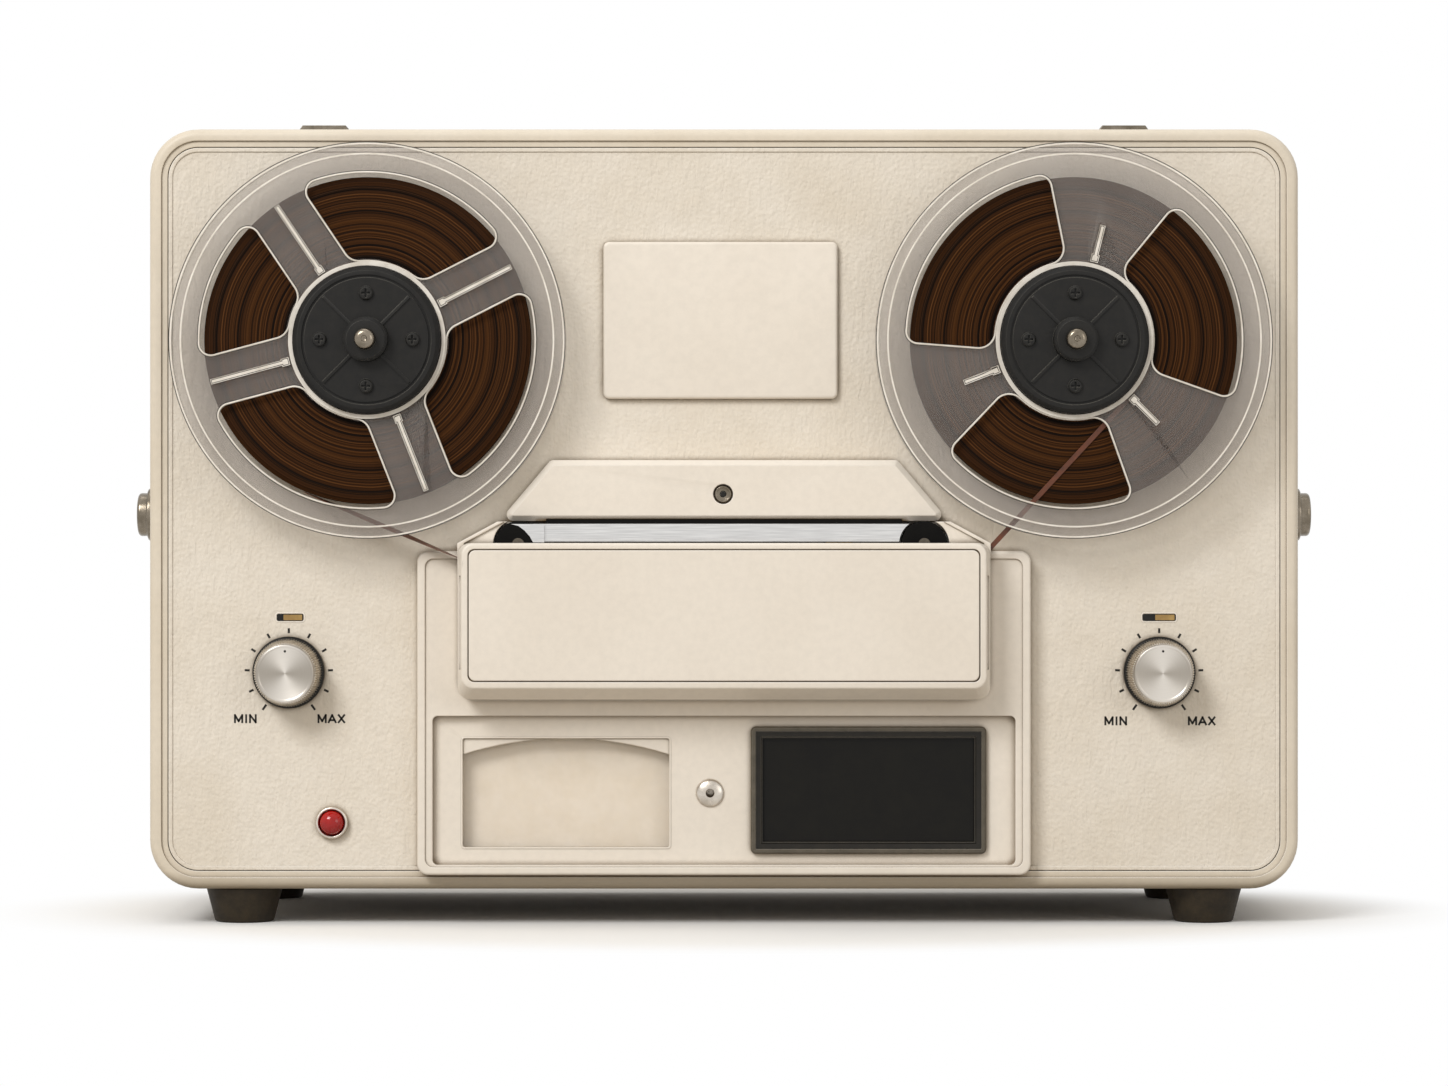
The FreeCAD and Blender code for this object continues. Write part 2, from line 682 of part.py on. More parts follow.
def rear_screw_places():
    """Eight (x, z) places round the rear cover."""
    side = CASE_SIDE - REAR_SCREW_MARGIN
    low = CASE_BASE + REAR_SCREW_MARGIN
    high = CASE_TOP - REAR_SCREW_MARGIN
    spread = side * REAR_SCREW_SPREAD
    middle = (low + high) / 2
    rows = [(x, z) for x in (-spread, 0.0, spread) for z in (low, high)]
    return rows + [(-side, middle), (side, middle)]


def foot_places():
    """The four (x, depth) places of the feet."""
    return [(x, depth) for x in (-FOOT_X, FOOT_X) for depth in (FRONT_FOOT_DEPTH, REAR_FOOT_DEPTH)]


def board_post_places():
    """The four (x, depth) places of the posts under the circuit board."""
    return [(x, depth) for x in (BOARD_LEFT + BOARD_POST_INSET, BOARD_RIGHT - BOARD_POST_INSET)
            for depth in (BOARD_NEAR + BOARD_POST_INSET, BOARD_FAR - BOARD_POST_INSET)]


def cabinet_wrap():
    """The moulded wrap: rounded front edge, stepped rim, rear ledge and board posts."""
    outer = case_block(0.0, 0.0, CASE_DEPTH)
    outer = outer.makeFillet(CASE_EDGE_ROUND, edges_at_depth(outer, 0.0))
    ledge_far = COVER_NEAR
    ledge_near = ledge_far - REAR_LEDGE_THICKNESS
    wrap = outer.cut(case_block(RIM_BAND, -OVERCUT, RIM_STEP))
    wrap = wrap.cut(case_block(RIM_WIDTH, 0.0, LIP_THICKNESS + OVERCUT))
    wrap = wrap.cut(case_block(WALL, LIP_THICKNESS, ledge_near))
    wrap = wrap.cut(case_block(WALL + REAR_LEDGE_WIDTH, ledge_near - OVERCUT, ledge_far + OVERCUT))
    wrap = wrap.cut(case_block(WALL, ledge_far, CASE_DEPTH + OVERCUT))
    for x, z in rear_screw_places():
        wrap = wrap.cut(disc(x, z, SCREW_HOLE_RADIUS, ledge_near - OVERCUT, ledge_far + OVERCUT))
    for x, depth in foot_places():
        hole = Part.makeCylinder(SCREW_HOLE_RADIUS, WALL + 2 * OVERCUT, at(x, depth, CASE_BASE - OVERCUT))
        wrap = wrap.cut(hole)
    button_way = Part.makeCylinder(BUTTON_RADIUS + FIT_GAP, CASE_WIDTH + 2 * OVERCUT,
                                   at(-CASE_SIDE - OVERCUT, BUTTON_DEPTH, BUTTON_Z), Vector(1, 0, 0))
    wrap = wrap.cut(button_way)
    for x, depth in board_post_places():
        wrap = wrap.fuse(Part.makeCylinder(BOARD_POST_RADIUS, BOARD_POST_HEIGHT, at(x, depth, FLOOR_Z)))
    return wrap.removeSplitter()


def rear_cover():
    """The flat rear cover with its vent slots and connector holes."""
    cover = case_block(FLANGE_MARGIN, COVER_NEAR, COVER_FAR)
    for x, z in rear_screw_places():
        cover = cover.cut(disc(x, z, SCREW_HOLE_RADIUS, COVER_NEAR, COVER_FAR))
    row_half = (VENTS_PER_ROW - 1) * VENT_PITCH / 2
    for number in range(VENTS_PER_ROW):
        x = number * VENT_PITCH - row_half
        cover = cover.cut(block(x - VENT_WIDTH / 2, x + VENT_WIDTH / 2, COVER_NEAR, COVER_FAR,
                                VENT_ROW_Z - VENT_HEIGHT / 2, VENT_ROW_Z + VENT_HEIGHT / 2))
    for x in REAR_JACK_X:
        cover = cover.cut(disc(x, REAR_JACK_Z, REAR_BARREL_RADIUS + SCREW_HOLE_GAP, COVER_NEAR, COVER_FAR))
    half_width = INLET_BODY_WIDTH / 2 + FIT_GAP
    half_height = INLET_BODY_HEIGHT / 2 + FIT_GAP
    return cover.cut(block(INLET_X - half_width, INLET_X + half_width, COVER_NEAR, COVER_FAR,
                           INLET_Z - half_height, INLET_Z + half_height))


def chassis_screw_places():
    """The (x, z) places where the chassis plate is screwed to the deck's bosses."""
    return [(x, z) for x in CHASSIS_SCREW_X for z in CHASSIS_SCREW_Z]


def screws():
    """All screws: rear cover, chassis and feet alike, and the larger one on the bridge cover."""
    small = pan_screw(SCREW_HEAD_RADIUS, SCREW_HEAD_HEIGHT, SCREW_RADIUS, SCREW_LENGTH)
    large = pan_screw(BRIDGE_SCREW_HEAD_RADIUS, BRIDGE_SCREW_HEAD_HEIGHT, SCREW_RADIUS,
                      BRIDGE_PROUD + DECK_DEPTH - BRIDGE_SCREW_POCKET_DEPTH)
    rearward = Vector(0, 1, 0)
    chassis_back = CHASSIS_DEPTH + CHASSIS_THICKNESS
    solids = [placed(small, at(x, COVER_FAR, z), rearward) for x, z in rear_screw_places()]
    solids += [placed(small, at(x, chassis_back, z), rearward) for x, z in chassis_screw_places()]
    solids += [placed(small, at(x, depth, FOOT_POCKET_DEPTH), Vector(0, 0, -1)) for x, depth in foot_places()]
    pocket_floor = BRIDGE_PROUD - BRIDGE_SCREW_POCKET_DEPTH
    solids.append(placed(large, at(BRIDGE_SCREW_X, -pocket_floor, BRIDGE_SCREW_Z), Vector(0, -1, 0)))
    return Part.Compound(solids)


def foot(x, depth):
    """A tapered rubber foot with a round-edged sole and a pocket for its screw."""
    body = Part.makeCone(FOOT_SOLE_RADIUS, FOOT_TOP_RADIUS, FOOT_HEIGHT, at(x, depth, 0))
    sole_edges = [edge for edge in body.Edges if edge.BoundBox.ZMax < 1e-4]
    body = body.makeFillet(FOOT_SOLE_ROUND, sole_edges)
    pocket = Part.makeCylinder(FOOT_POCKET_RADIUS, FOOT_POCKET_DEPTH, at(x, depth, 0))
    hole = Part.makeCylinder(SCREW_HOLE_RADIUS, FOOT_HEIGHT, at(x, depth, 0))
    return body.cut(pocket).cut(hole)


def feet():
    return Part.Compound([foot(x, depth) for x, depth in foot_places()])


def lid_catch(x):
    """A low tapered strike plate with a slot for a lid's hook."""
    base = CATCH_BASE_WIDTH / 2
    top = CATCH_TOP_WIDTH / 2
    corners = [(x - base, CASE_TOP), (x + base, CASE_TOP),
               (x + top, CASE_TOP + CATCH_HEIGHT), (x - top, CASE_TOP + CATCH_HEIGHT)]
    plate = prism(corners, CATCH_NEAR, CATCH_NEAR + CATCH_LENGTH)
    slot_near = CATCH_NEAR + (CATCH_LENGTH - CATCH_SLOT_LENGTH) / 2
    slot = block(x - CATCH_SLOT_WIDTH / 2, x + CATCH_SLOT_WIDTH / 2, slot_near,
                 slot_near + CATCH_SLOT_LENGTH, CASE_TOP, CASE_TOP + CATCH_HEIGHT)
    return plate.cut(slot)


def lid_catches():
    return Part.Compound([lid_catch(-CATCH_X), lid_catch(CATCH_X)])


def side_button(side):
    """A round push-button with a collar that stops it inside the wall; side is -1 or +1."""
    outward = Vector(side, 0, 0)
    collar_face = CASE_SIDE - WALL - SCREW_HOLE_GAP
    collar_start = at(side * (collar_face - BUTTON_COLLAR_THICKNESS), BUTTON_DEPTH, BUTTON_Z)
    reach = CASE_SIDE + BUTTON_PROUD - collar_face + BUTTON_COLLAR_THICKNESS
    stem = Part.makeCylinder(BUTTON_RADIUS, reach, collar_start, outward)
    cap_x = side * (CASE_SIDE + BUTTON_PROUD)
    cap_edges = [edge for edge in stem.Edges if abs(edge.CenterOfMass.x - cap_x) < 1e-4]
    stem = stem.makeFillet(BUTTON_EDGE_ROUND, cap_edges)
    collar = Part.makeCylinder(BUTTON_COLLAR_RADIUS, BUTTON_COLLAR_THICKNESS, collar_start, outward)
    return stem.fuse(collar).removeSplitter()


def button_bezel(side):
    """The dished ring round a side button."""
    start = at(side * CASE_SIDE, BUTTON_DEPTH, BUTTON_Z)
    outward = Vector(side, 0, 0)
    body = Part.makeCylinder(BEZEL_RADIUS, BEZEL_PROUD, start, outward)
    rim_x = side * (CASE_SIDE + BEZEL_PROUD)
    rim_edges = [edge for edge in body.Edges if abs(edge.CenterOfMass.x - rim_x) < 1e-4]
    body = body.makeFillet(BEZEL_DISH, rim_edges)
    return body.cut(Part.makeCylinder(BUTTON_RADIUS + FIT_GAP, BEZEL_PROUD, start, outward))


def button_bezels():
    return Part.Compound([button_bezel(-1), button_bezel(1)])


# --- Deck and chassis ---

def slot_openings():
    """The two (x, width) openings above the knobs."""
    return [(LEFT_SLOT_X, LEFT_SLOT_WIDTH), (RIGHT_SLOT_X, RIGHT_SLOT_WIDTH)]


def deck_holes():
    """Everything that is cut through the deck."""
    near = 0.0
    far = LIP_THICKNESS + DECK_FLANGE_THICKNESS
    holes = [disc(x, REEL_Z, SPINDLE_RADIUS + SHAFT_HOLE_GAP, near, far) for x in (LEFT_REEL_X, RIGHT_REEL_X)]
    holes += [disc(x, KNOB_Z, POT_BUSH_RADIUS + SCREW_HOLE_GAP, near, far) for x in (-KNOB_X, KNOB_X)]
    low = SLOT_Z - SLOT_HEIGHT / 2
    high = SLOT_Z + SLOT_HEIGHT / 2
    holes += [block(x - width / 2, x + width / 2, near, far, low, high) for x, width in slot_openings()]
    holes.append(disc(CAPSTAN_X, CAPSTAN_Z, BEARING_RADIUS + FIT_GAP, near, far))
    holes.append(disc(LAMP_X, LAMP_Z, LAMP_BARREL_RADIUS + SCREW_HOLE_GAP, near, far))
    holes.append(disc(JACK_X, JACK_Z, JACK_BARREL_RADIUS + FIT_GAP, near, far))
    holes.append(disc(BRIDGE_SCREW_X, BRIDGE_SCREW_Z, SCREW_HOLE_RADIUS, near, far))
    half_case = METER_WIDTH / 2 + METER_MARGIN + FIT_GAP
    case_low = METER_PIVOT_Z - NEEDLE_HUB_RADIUS - METER_CASE_WALL - FIT_GAP
    case_high = METER_TOP + METER_CASE_WALL + FIT_GAP
    holes.append(block(METER_X - half_case, METER_X + half_case, near, far, case_low, case_high))
    side = WINDOW_FRAME_SIDE
    holes.append(block(WINDOW_LEFT + side - GLASS_LAP, WINDOW_RIGHT - side + GLASS_LAP, near, far,
                       WINDOW_BOTTOM + side - GLASS_LAP, WINDOW_TOP - side + GLASS_LAP))
    return holes


def deck_panel():
    """The moulded front deck: a raised field with a bead, a hidden flange and screw bosses."""
    flange_near = LIP_THICKNESS
    flange_far = flange_near + DECK_FLANGE_THICKNESS
    bead = case_block(DECK_MARGIN, DECK_DEPTH - DECK_BEAD_HEIGHT, DECK_DEPTH)
    bead = bead.cut(case_block(DECK_MARGIN + DECK_BEAD_WIDTH, 0.0, DECK_DEPTH))
    field = case_block(DECK_MARGIN, DECK_DEPTH, flange_near)
    flange = case_block(FLANGE_MARGIN, flange_near, flange_far)
    deck = joined([field, flange, bead])
    deck = deck.cut(case_block(DECK_MARGIN + DECK_RETURN_WIDTH, DECK_BACK, flange_far + OVERCUT))
    for hole in deck_holes():
        deck = deck.cut(hole)
    for x, z in chassis_screw_places():
        boss = disc(x, z, BOSS_RADIUS, DECK_BACK, CHASSIS_DEPTH)
        pilot_near = CHASSIS_DEPTH - SCREW_LENGTH
        deck = deck.fuse(boss).cut(disc(x, z, SCREW_RADIUS, pilot_near, CHASSIS_DEPTH))
    return deck


def chassis_plate():
    """The steel plate that carries the motors and the capstan bearing, folded back at its sides."""
    half = CHASSIS_HALF_WIDTH
    back = CHASSIS_DEPTH + CHASSIS_THICKNESS
    plate = block(-half, half, CHASSIS_DEPTH, back, CHASSIS_BOTTOM, CHASSIS_TOP)
    for left in (-half, half - CHASSIS_THICKNESS):
        plate = plate.fuse(block(left, left + CHASSIS_THICKNESS, CHASSIS_DEPTH, back + CHASSIS_FLANGE,
                                 CHASSIS_BOTTOM, CHASSIS_TOP))
    plate = plate.removeSplitter()
    for x in (LEFT_REEL_X, RIGHT_REEL_X):
        plate = plate.cut(disc(x, REEL_Z, MOTOR_NOSE_RADIUS + SCREW_HOLE_GAP, CHASSIS_DEPTH, back))
    plate = plate.cut(disc(CAPSTAN_X, CAPSTAN_Z, BEARING_RADIUS + SCREW_HOLE_GAP, CHASSIS_DEPTH, back))
    for x, z in chassis_screw_places():
        plate = plate.cut(disc(x, z, SCREW_HOLE_RADIUS, CHASSIS_DEPTH, back))
    return plate


def nameplate_pad():
    """The blank raised pad between the reels."""
    pad = block(PAD_X - PAD_WIDTH / 2, PAD_X + PAD_WIDTH / 2, -PAD_PROUD, DECK_DEPTH,
                PAD_Z - PAD_HEIGHT / 2, PAD_Z + PAD_HEIGHT / 2, PAD_CORNER)
    return pad.makeChamfer(PAD_BEVEL, edges_at_depth(pad, -PAD_PROUD))


def bridge_outline(inset):
    """The trapezoid cover's corners, drawn in by an inset."""
    lean = (BRIDGE_BASE_HALF_WIDTH - BRIDGE_TOP_HALF_WIDTH) / (BRIDGE_TOP_Z - BRIDGE_BASE_Z)
    side_inset = inset * math.sqrt(1 + lean ** 2)
    top_half = BRIDGE_TOP_HALF_WIDTH - side_inset + inset * lean
    base_half = BRIDGE_BASE_HALF_WIDTH - side_inset - inset * lean
    low = BRIDGE_BASE_Z + inset
    high = BRIDGE_TOP_Z - inset
    return [(-base_half, low), (base_half, low), (top_half, high), (-top_half, high)]


def bridge_cover():
    """The bevelled trapezoid cover, hollow behind, with a boss for its screw."""
    body = prism(bridge_outline(0.0), -BRIDGE_PROUD, DECK_DEPTH)
    body = body.makeFillet(BRIDGE_CORNER, edges_along(body, Vector(0, 1, 0)))
    body = body.makeChamfer(BRIDGE_BEVEL, edges_at_depth(body, -BRIDGE_PROUD))
    hollow = prism(bridge_outline(BRIDGE_WALL + BRIDGE_BEVEL), -BRIDGE_PROUD + BRIDGE_WALL, DECK_DEPTH)
    boss = disc(BRIDGE_SCREW_X, BRIDGE_SCREW_Z, BRIDGE_SCREW_POCKET_RADIUS + BRIDGE_BOSS_WALL,
                -BRIDGE_PROUD + BRIDGE_WALL, DECK_DEPTH)
    body = body.cut(hollow).fuse(boss)
    pocket = disc(BRIDGE_SCREW_X, BRIDGE_SCREW_Z, BRIDGE_SCREW_POCKET_RADIUS,
                  -BRIDGE_PROUD, -BRIDGE_PROUD + BRIDGE_SCREW_POCKET_DEPTH)
    hole = disc(BRIDGE_SCREW_X, BRIDGE_SCREW_Z, SCREW_HOLE_RADIUS, -BRIDGE_PROUD, DECK_DEPTH)
    return body.cut(pocket).cut(hole)


# --- Reels ---

def spoke_bar(x, width, flare):
    """One spoke as a tapered bar that lies to the right of a reel's axis."""
    inner = WINDOW_INNER / 2
    outer = WINDOW_OUTER + SPOKE_OVERRUN
    inner_half = (width + flare * (inner - WINDOW_MIDDLE)) / 2
    outer_half = (width + flare * (outer - WINDOW_MIDDLE)) / 2
    corners = [(x + inner, REEL_Z - inner_half), (x + outer, REEL_Z - outer_half),
               (x + outer, REEL_Z + outer_half), (x + inner, REEL_Z + inner_half)]
    return prism(corners, -FRONT_FLANGE_FRONT, -FRONT_FLANGE_BACK)


def rounded_window(x, window):
    """A flange window with small corners at the rim and larger ones at the hub."""
    corners = edges_along(window, Vector(0, 1, 0))
    reach = [Vector(edge.CenterOfMass.x - x, 0, edge.CenterOfMass.z - REEL_Z).Length for edge in corners]
    at_hub = [edge for edge, radius in zip(corners, reach) if radius < WINDOW_MIDDLE]
    at_rim = [edge for edge, radius in zip(corners, reach) if radius > WINDOW_MIDDLE]
    window = window.makeFillet(WINDOW_ROOT_CORNER, at_hub)
    at_rim = [edge for edge in edges_along(window, Vector(0, 1, 0))
              if any((edge.CenterOfMass - old.CenterOfMass).Length < OVERCUT for old in at_rim)]
    return window.makeFillet(WINDOW_CORNER, at_rim)


def flange_windows(x, spokes, flare):
    """The rounded openings between a front flange's spokes."""
    openings = ring(x, REEL_Z, WINDOW_OUTER, WINDOW_INNER, -FRONT_FLANGE_FRONT, -FRONT_FLANGE_BACK)
    for direction, width in spokes:
        openings = openings.cut(turned_about(spoke_bar(x, width, flare), x, REEL_Z, direction))
    return [rounded_window(x, window) for window in openings.Solids]


def flange_ribs(x, spokes, outer):
    """The raised rib and square block on each spoke."""
    start = WINDOW_INNER + RIB_BLOCK / 2
    top = -FRONT_FLANGE_FRONT - RIB_HEIGHT
    rib = block(x + start, x + outer, top, -FRONT_FLANGE_FRONT,
                REEL_Z - RIB_WIDTH / 2, REEL_Z + RIB_WIDTH / 2)
    foot_block = block(x + start - RIB_BLOCK / 2, x + start + RIB_BLOCK / 2, top, -FRONT_FLANGE_FRONT,
                       REEL_Z - RIB_BLOCK / 2, REEL_Z + RIB_BLOCK / 2)
    shape = rib.fuse(foot_block).removeSplitter()
    return [turned_about(shape, x, REEL_Z, direction) for direction, width in spokes]


def reel_front(x, spokes, flare, rib_outer):
    """The clear front flange: windows, spoke ribs, hub ring and two rim beads."""
    front = -FRONT_FLANGE_FRONT
    flange = disc(x, REEL_Z, REEL_RADIUS, front, -FRONT_FLANGE_BACK)
    for window in flange_windows(x, spokes, flare):
        flange = flange.cut(window)
    bead_top = front - FLANGE_BEAD_HEIGHT
    for outer in (REEL_RADIUS, REEL_RADIUS - FLANGE_BEAD_PITCH):
        flange = flange.fuse(ring(x, REEL_Z, outer, outer - FLANGE_BEAD_WIDTH, bead_top, front))
    hub_ring = ring(x, REEL_Z, HUB_RADIUS + HUB_RING_WIDTH, HUB_RADIUS, front - HUB_RING_HEIGHT, front)
    flange = flange.fuse(hub_ring)
    for rib in flange_ribs(x, spokes, rib_outer):
        flange = flange.fuse(rib)
    bore = disc(x, REEL_Z, SPINDLE_TIP_RADIUS + SPINDLE_CLEARANCE, front, -FRONT_FLANGE_BACK)
    return flange.cut(bore).removeSplitter()


def reel_back(x):
    """The clear back flange, moulded in one with the hub that the tape is wound on."""
    flange = disc(x, REEL_Z, REEL_RADIUS, -BACK_FLANGE_FRONT, -REEL_BACK_PROUD)
    hub = disc(x, REEL_Z, HUB_RADIUS, -FRONT_FLANGE_BACK, -BACK_FLANGE_FRONT)
    body = flange.fuse(hub).removeSplitter()
    bore = disc(x, REEL_Z, SPINDLE_TIP_RADIUS + SPINDLE_CLEARANCE, -FRONT_FLANGE_BACK, -REEL_BACK_PROUD)
    return body.cut(bore)


def tape_pack(x):
    """The wound tape."""
    return ring(x, REEL_Z, PACK_RADIUS, HUB_RADIUS + PACK_GAP, -TAPE_FRONT, -TAPE_BACK)


def hub_cap(x):
    """The black hub clamp: bevelled disc, groove, boss, four ribs and four screws."""
    base = -CLAMP_BASE
    face = base - CLAMP_HEIGHT
    boss = base - CLAMP_BOSS_HEIGHT
    bore = SPINDLE_TIP_RADIUS + SPINDLE_CLEARANCE
    groove_in = CLAMP_GROOVE_RADIUS - CLAMP_GROOVE_WIDTH / 2
    groove_out = CLAMP_GROOVE_RADIUS + CLAMP_GROOVE_WIDTH / 2
    profile = [
        (bore, base), (CLAMP_RADIUS, base), (CLAMP_RADIUS, base - CLAMP_SIDE_HEIGHT),
        (CLAMP_RADIUS - CLAMP_BEVEL, face), (groove_out, face), (groove_out, face + CLAMP_GROOVE_DEPTH),
        (groove_in, face + CLAMP_GROOVE_DEPTH), (groove_in, face), (BOSS_TOP_RADIUS, face),
        (BOSS_TOP_RADIUS, boss + CLAMP_BOSS_BEVEL), (BOSS_TOP_RADIUS - CLAMP_BOSS_BEVEL, boss), (bore, boss),
    ]
    cap = turned(x, REEL_Z, profile)
    rib = block(x + BOSS_TOP_RADIUS - CLAMP_RIB_HEIGHT, x + groove_in - CLAMP_RIB_HEIGHT,
                face - CLAMP_RIB_HEIGHT, face, REEL_Z - CLAMP_RIB_WIDTH / 2, REEL_Z + CLAMP_RIB_WIDTH / 2)
    step = 360.0 / CLAMP_REPEATS
    for number in range(CLAMP_REPEATS):
        cap = cap.fuse(turned_about(rib, x, REEL_Z, CLAMP_RIB_START + step * number))
    screw = pan_screw(CLAMP_SCREW_RADIUS, CLAMP_SCREW_HEIGHT, SCREW_RADIUS, CLAMP_SIDE_HEIGHT)
    seat = placed(screw, at(x + CLAMP_SCREW_CIRCLE, face, REEL_Z), Vector(0, -1, 0))
    for number in range(CLAMP_REPEATS):
        cap = cap.fuse(turned_about(seat, x, REEL_Z, step * number))
    return cap


def spindle(x):
    """The reel spindle: motor shaft, platter and domed tip in one turning."""
    platter_front = -REEL_BACK_PROUD + PACK_GAP
    platter_back = platter_front + PLATTER_THICKNESS
    tip = -SPINDLE_PROUD
    profile = [
        (0.0, SPINDLE_INNER_DEPTH), (SPINDLE_RADIUS, SPINDLE_INNER_DEPTH), (SPINDLE_RADIUS, platter_back),
        (PLATTER_RADIUS, platter_back), (PLATTER_RADIUS, platter_front), (SPINDLE_TIP_RADIUS, platter_front),
        (SPINDLE_TIP_RADIUS, tip), (0.0, tip),
    ]
    body = turned(x, REEL_Z, profile)
    return body.makeFillet(SPINDLE_DOME, edges_at_depth(body, tip))


def reel_motor(x):
    """A reel motor: a can with a nose that seats in the chassis plate."""
    back = CHASSIS_DEPTH + CHASSIS_THICKNESS
    can = disc(x, REEL_Z, REEL_MOTOR_RADIUS, back, back + REEL_MOTOR_LENGTH)
    can = can.makeChamfer(MOTOR_EDGE, edges_at_depth(can, back + REEL_MOTOR_LENGTH))
    nose = disc(x, REEL_Z, MOTOR_NOSE_RADIUS, back - MOTOR_NOSE_LENGTH, back)
    bore = disc(x, REEL_Z, SPINDLE_RADIUS + SPINDLE_CLEARANCE, back - MOTOR_NOSE_LENGTH,
                SPINDLE_INNER_DEPTH + FIT_GAP)
    return can.fuse(nose).cut(bore)


def reel_motors():
    return Part.Compound([reel_motor(LEFT_REEL_X), reel_motor(RIGHT_REEL_X)])


# --- Tape path ---

def tape_run():
    """The tape between the reels: under both guide rollers, past the heads, and up to the hub."""
    middle = TAPE_TOP - TAPE_THICKNESS / 2
    turn = ROLLER_Z - middle
    left_port = (-HOUSING_HALF_WIDTH, LEFT_PORT_Z)
    right_port = (HOUSING_HALF_WIDTH, RIGHT_PORT_Z)
    leave = touch_point(LEFT_REEL_X, REEL_Z, PACK_RADIUS + FIT_GAP + TAPE_THICKNESS / 2, *left_port, 1)
    lead_in = touch_point(LEFT_ROLLER_X, ROLLER_Z, turn, *left_port, -1)
    lead_out = touch_point(RIGHT_ROLLER_X, ROLLER_Z, turn, *right_port, 1)
    stations = [leave, left_port, lead_in, (LEFT_ROLLER_X, middle), (RIGHT_ROLLER_X, middle),
                lead_out, right_port]
    spans = [ribbon(start, end, TAPE_THICKNESS, TAPE_BACK, TAPE_FRONT)
             for start, end in zip(stations, stations[1:])]
    hub_line = HUB_RADIUS + FIT_GAP + STRAND_WIDTH / 2
    reach = touch_point(RIGHT_REEL_X, REEL_Z, hub_line, *right_port, -1)
    strand_back = TAPE_FRONT + FIT_GAP
    spans.append(ribbon(right_port, reach, STRAND_WIDTH, strand_back, strand_back + STRAND_THICKNESS))
    twist = ((lead_out[0] + 3 * right_port[0]) / 4, (lead_out[1] + 3 * right_port[1]) / 4)
    joint = ribbon(twist, right_port, TAPE_THICKNESS, TAPE_FRONT, strand_back + STRAND_THICKNESS)
    return joined(spans + [joint])


def guide_roller(x):
    """A flanged guide roller, bored for its pin."""
    back = -ROLLER_BACK_PROUD
    front = -ROLLER_FRONT_PROUD
    bore = PIN_RADIUS + PIN_CLEARANCE
    waist_back = -TAPE_BACK + ROLLER_TAPE_GAP
    waist_front = -TAPE_FRONT - ROLLER_TAPE_GAP
    profile = [(bore, back), (ROLLER_FLANGE_RADIUS, back), (ROLLER_FLANGE_RADIUS, waist_back),
               (ROLLER_WAIST_RADIUS, waist_back), (ROLLER_WAIST_RADIUS, waist_front),
               (ROLLER_FLANGE_RADIUS, waist_front), (ROLLER_FLANGE_RADIUS, front), (bore, front)]
    return turned(x, ROLLER_Z, profile)


def headed_pin(x, z, radius, shoulder_end, body_end, head_radius):
    """A pin on the head plate: shoulder, shaft and a round head; ends are given proud."""
    profile = [(0.0, -PLATE_FRONT), (radius * 2, -PLATE_FRONT), (radius * 2, -shoulder_end),
               (radius, -shoulder_end), (radius, -body_end), (head_radius, -body_end),
               (head_radius, -body_end - PIN_HEAD_HEIGHT), (0.0, -body_end - PIN_HEAD_HEIGHT)]
    return turned(x, z, profile)


def deck_pins():
    """The pins of both guide rollers and of the pinch arm."""
    roller_pins = [headed_pin(x, ROLLER_Z, PIN_RADIUS, ROLLER_BACK_PROUD - SCREW_HOLE_GAP,
                              ROLLER_FRONT_PROUD + SCREW_HOLE_GAP, PIN_HEAD_RADIUS)
                   for x in (LEFT_ROLLER_X, RIGHT_ROLLER_X)]
    arm_front = PINCH_ARM_BACK_PROUD + PINCH_ARM_THICKNESS
    pivot = headed_pin(PINCH_PIVOT_X, PINCH_Z, PINCH_PIVOT_RADIUS, PINCH_ARM_BACK_PROUD - SCREW_HOLE_GAP,
                       arm_front + SCREW_HOLE_GAP, PINCH_PIVOT_RADIUS * PIVOT_HEAD_SHARE)
    return Part.Compound(roller_pins + [pivot])


def tape_shield():
    """The polished shield between the guide rollers: a face and a foot folded back to the housing."""
    left = LEFT_ROLLER_X
    right = RIGHT_ROLLER_X
    face = block(left, right, -SHIELD_PROUD, -SHIELD_PROUD + SHIELD_SHEET, SHIELD_BOTTOM, SHIELD_TOP)
    shelf = block(left, right, -SHIELD_PROUD, DECK_DEPTH - HOUSING_FLOOR,
                  SHIELD_TOP - SHIELD_SHEET, SHIELD_TOP)
    shield = face.fuse(shelf).removeSplitter()
    for x in (left, right):
        shield = shield.cut(disc(x, ROLLER_Z, ROLLER_FLANGE_RADIUS + SHIELD_ROLLER_GAP,
                                 -SHIELD_PROUD, 0.0))
    return shield


# --- Head housing ---

def housing_outline(inset):
    """The head housing's corners, drawn in by an inset on every side but the top."""
    half = HOUSING_HALF_WIDTH - inset
    top_half = HOUSING_TOP_HALF_WIDTH - inset
    return [(-half, HOUSING_BOTTOM + inset), (half, HOUSING_BOTTOM + inset), (half, HOUSING_SHOULDER_Z),
            (top_half, HOUSING_TOP), (-top_half, HOUSING_TOP), (-half, HOUSING_SHOULDER_Z)]


def low_corner_edges(solid):
    """The two lower corner edges of the head housing."""
    middle = (HOUSING_BOTTOM + HOUSING_SHOULDER_Z) / 2
    return [edge for edge in edges_along(solid, Vector(0, 1, 0)) if edge.CenterOfMass.z < middle]


def housing_cheek(side, roller_x):
    """The web between one guide roller and the housing's shoulder, in front of the tape."""
    near = -HOUSING_PROUD + CHEEK_STEP
    far = -TAPE_FRONT - CHEEK_TAPE_GAP
    left, right = sorted((roller_x, side * HOUSING_HALF_WIDTH))
    web = prism(housing_outline(0.0), near, far).common(
        block(left, right, near, far, CHEEK_BOTTOM, HOUSING_TOP))
    return web.cut(disc(roller_x, ROLLER_Z, ROLLER_FLANGE_RADIUS + CHEEK_ROLLER_GAP, near, far))


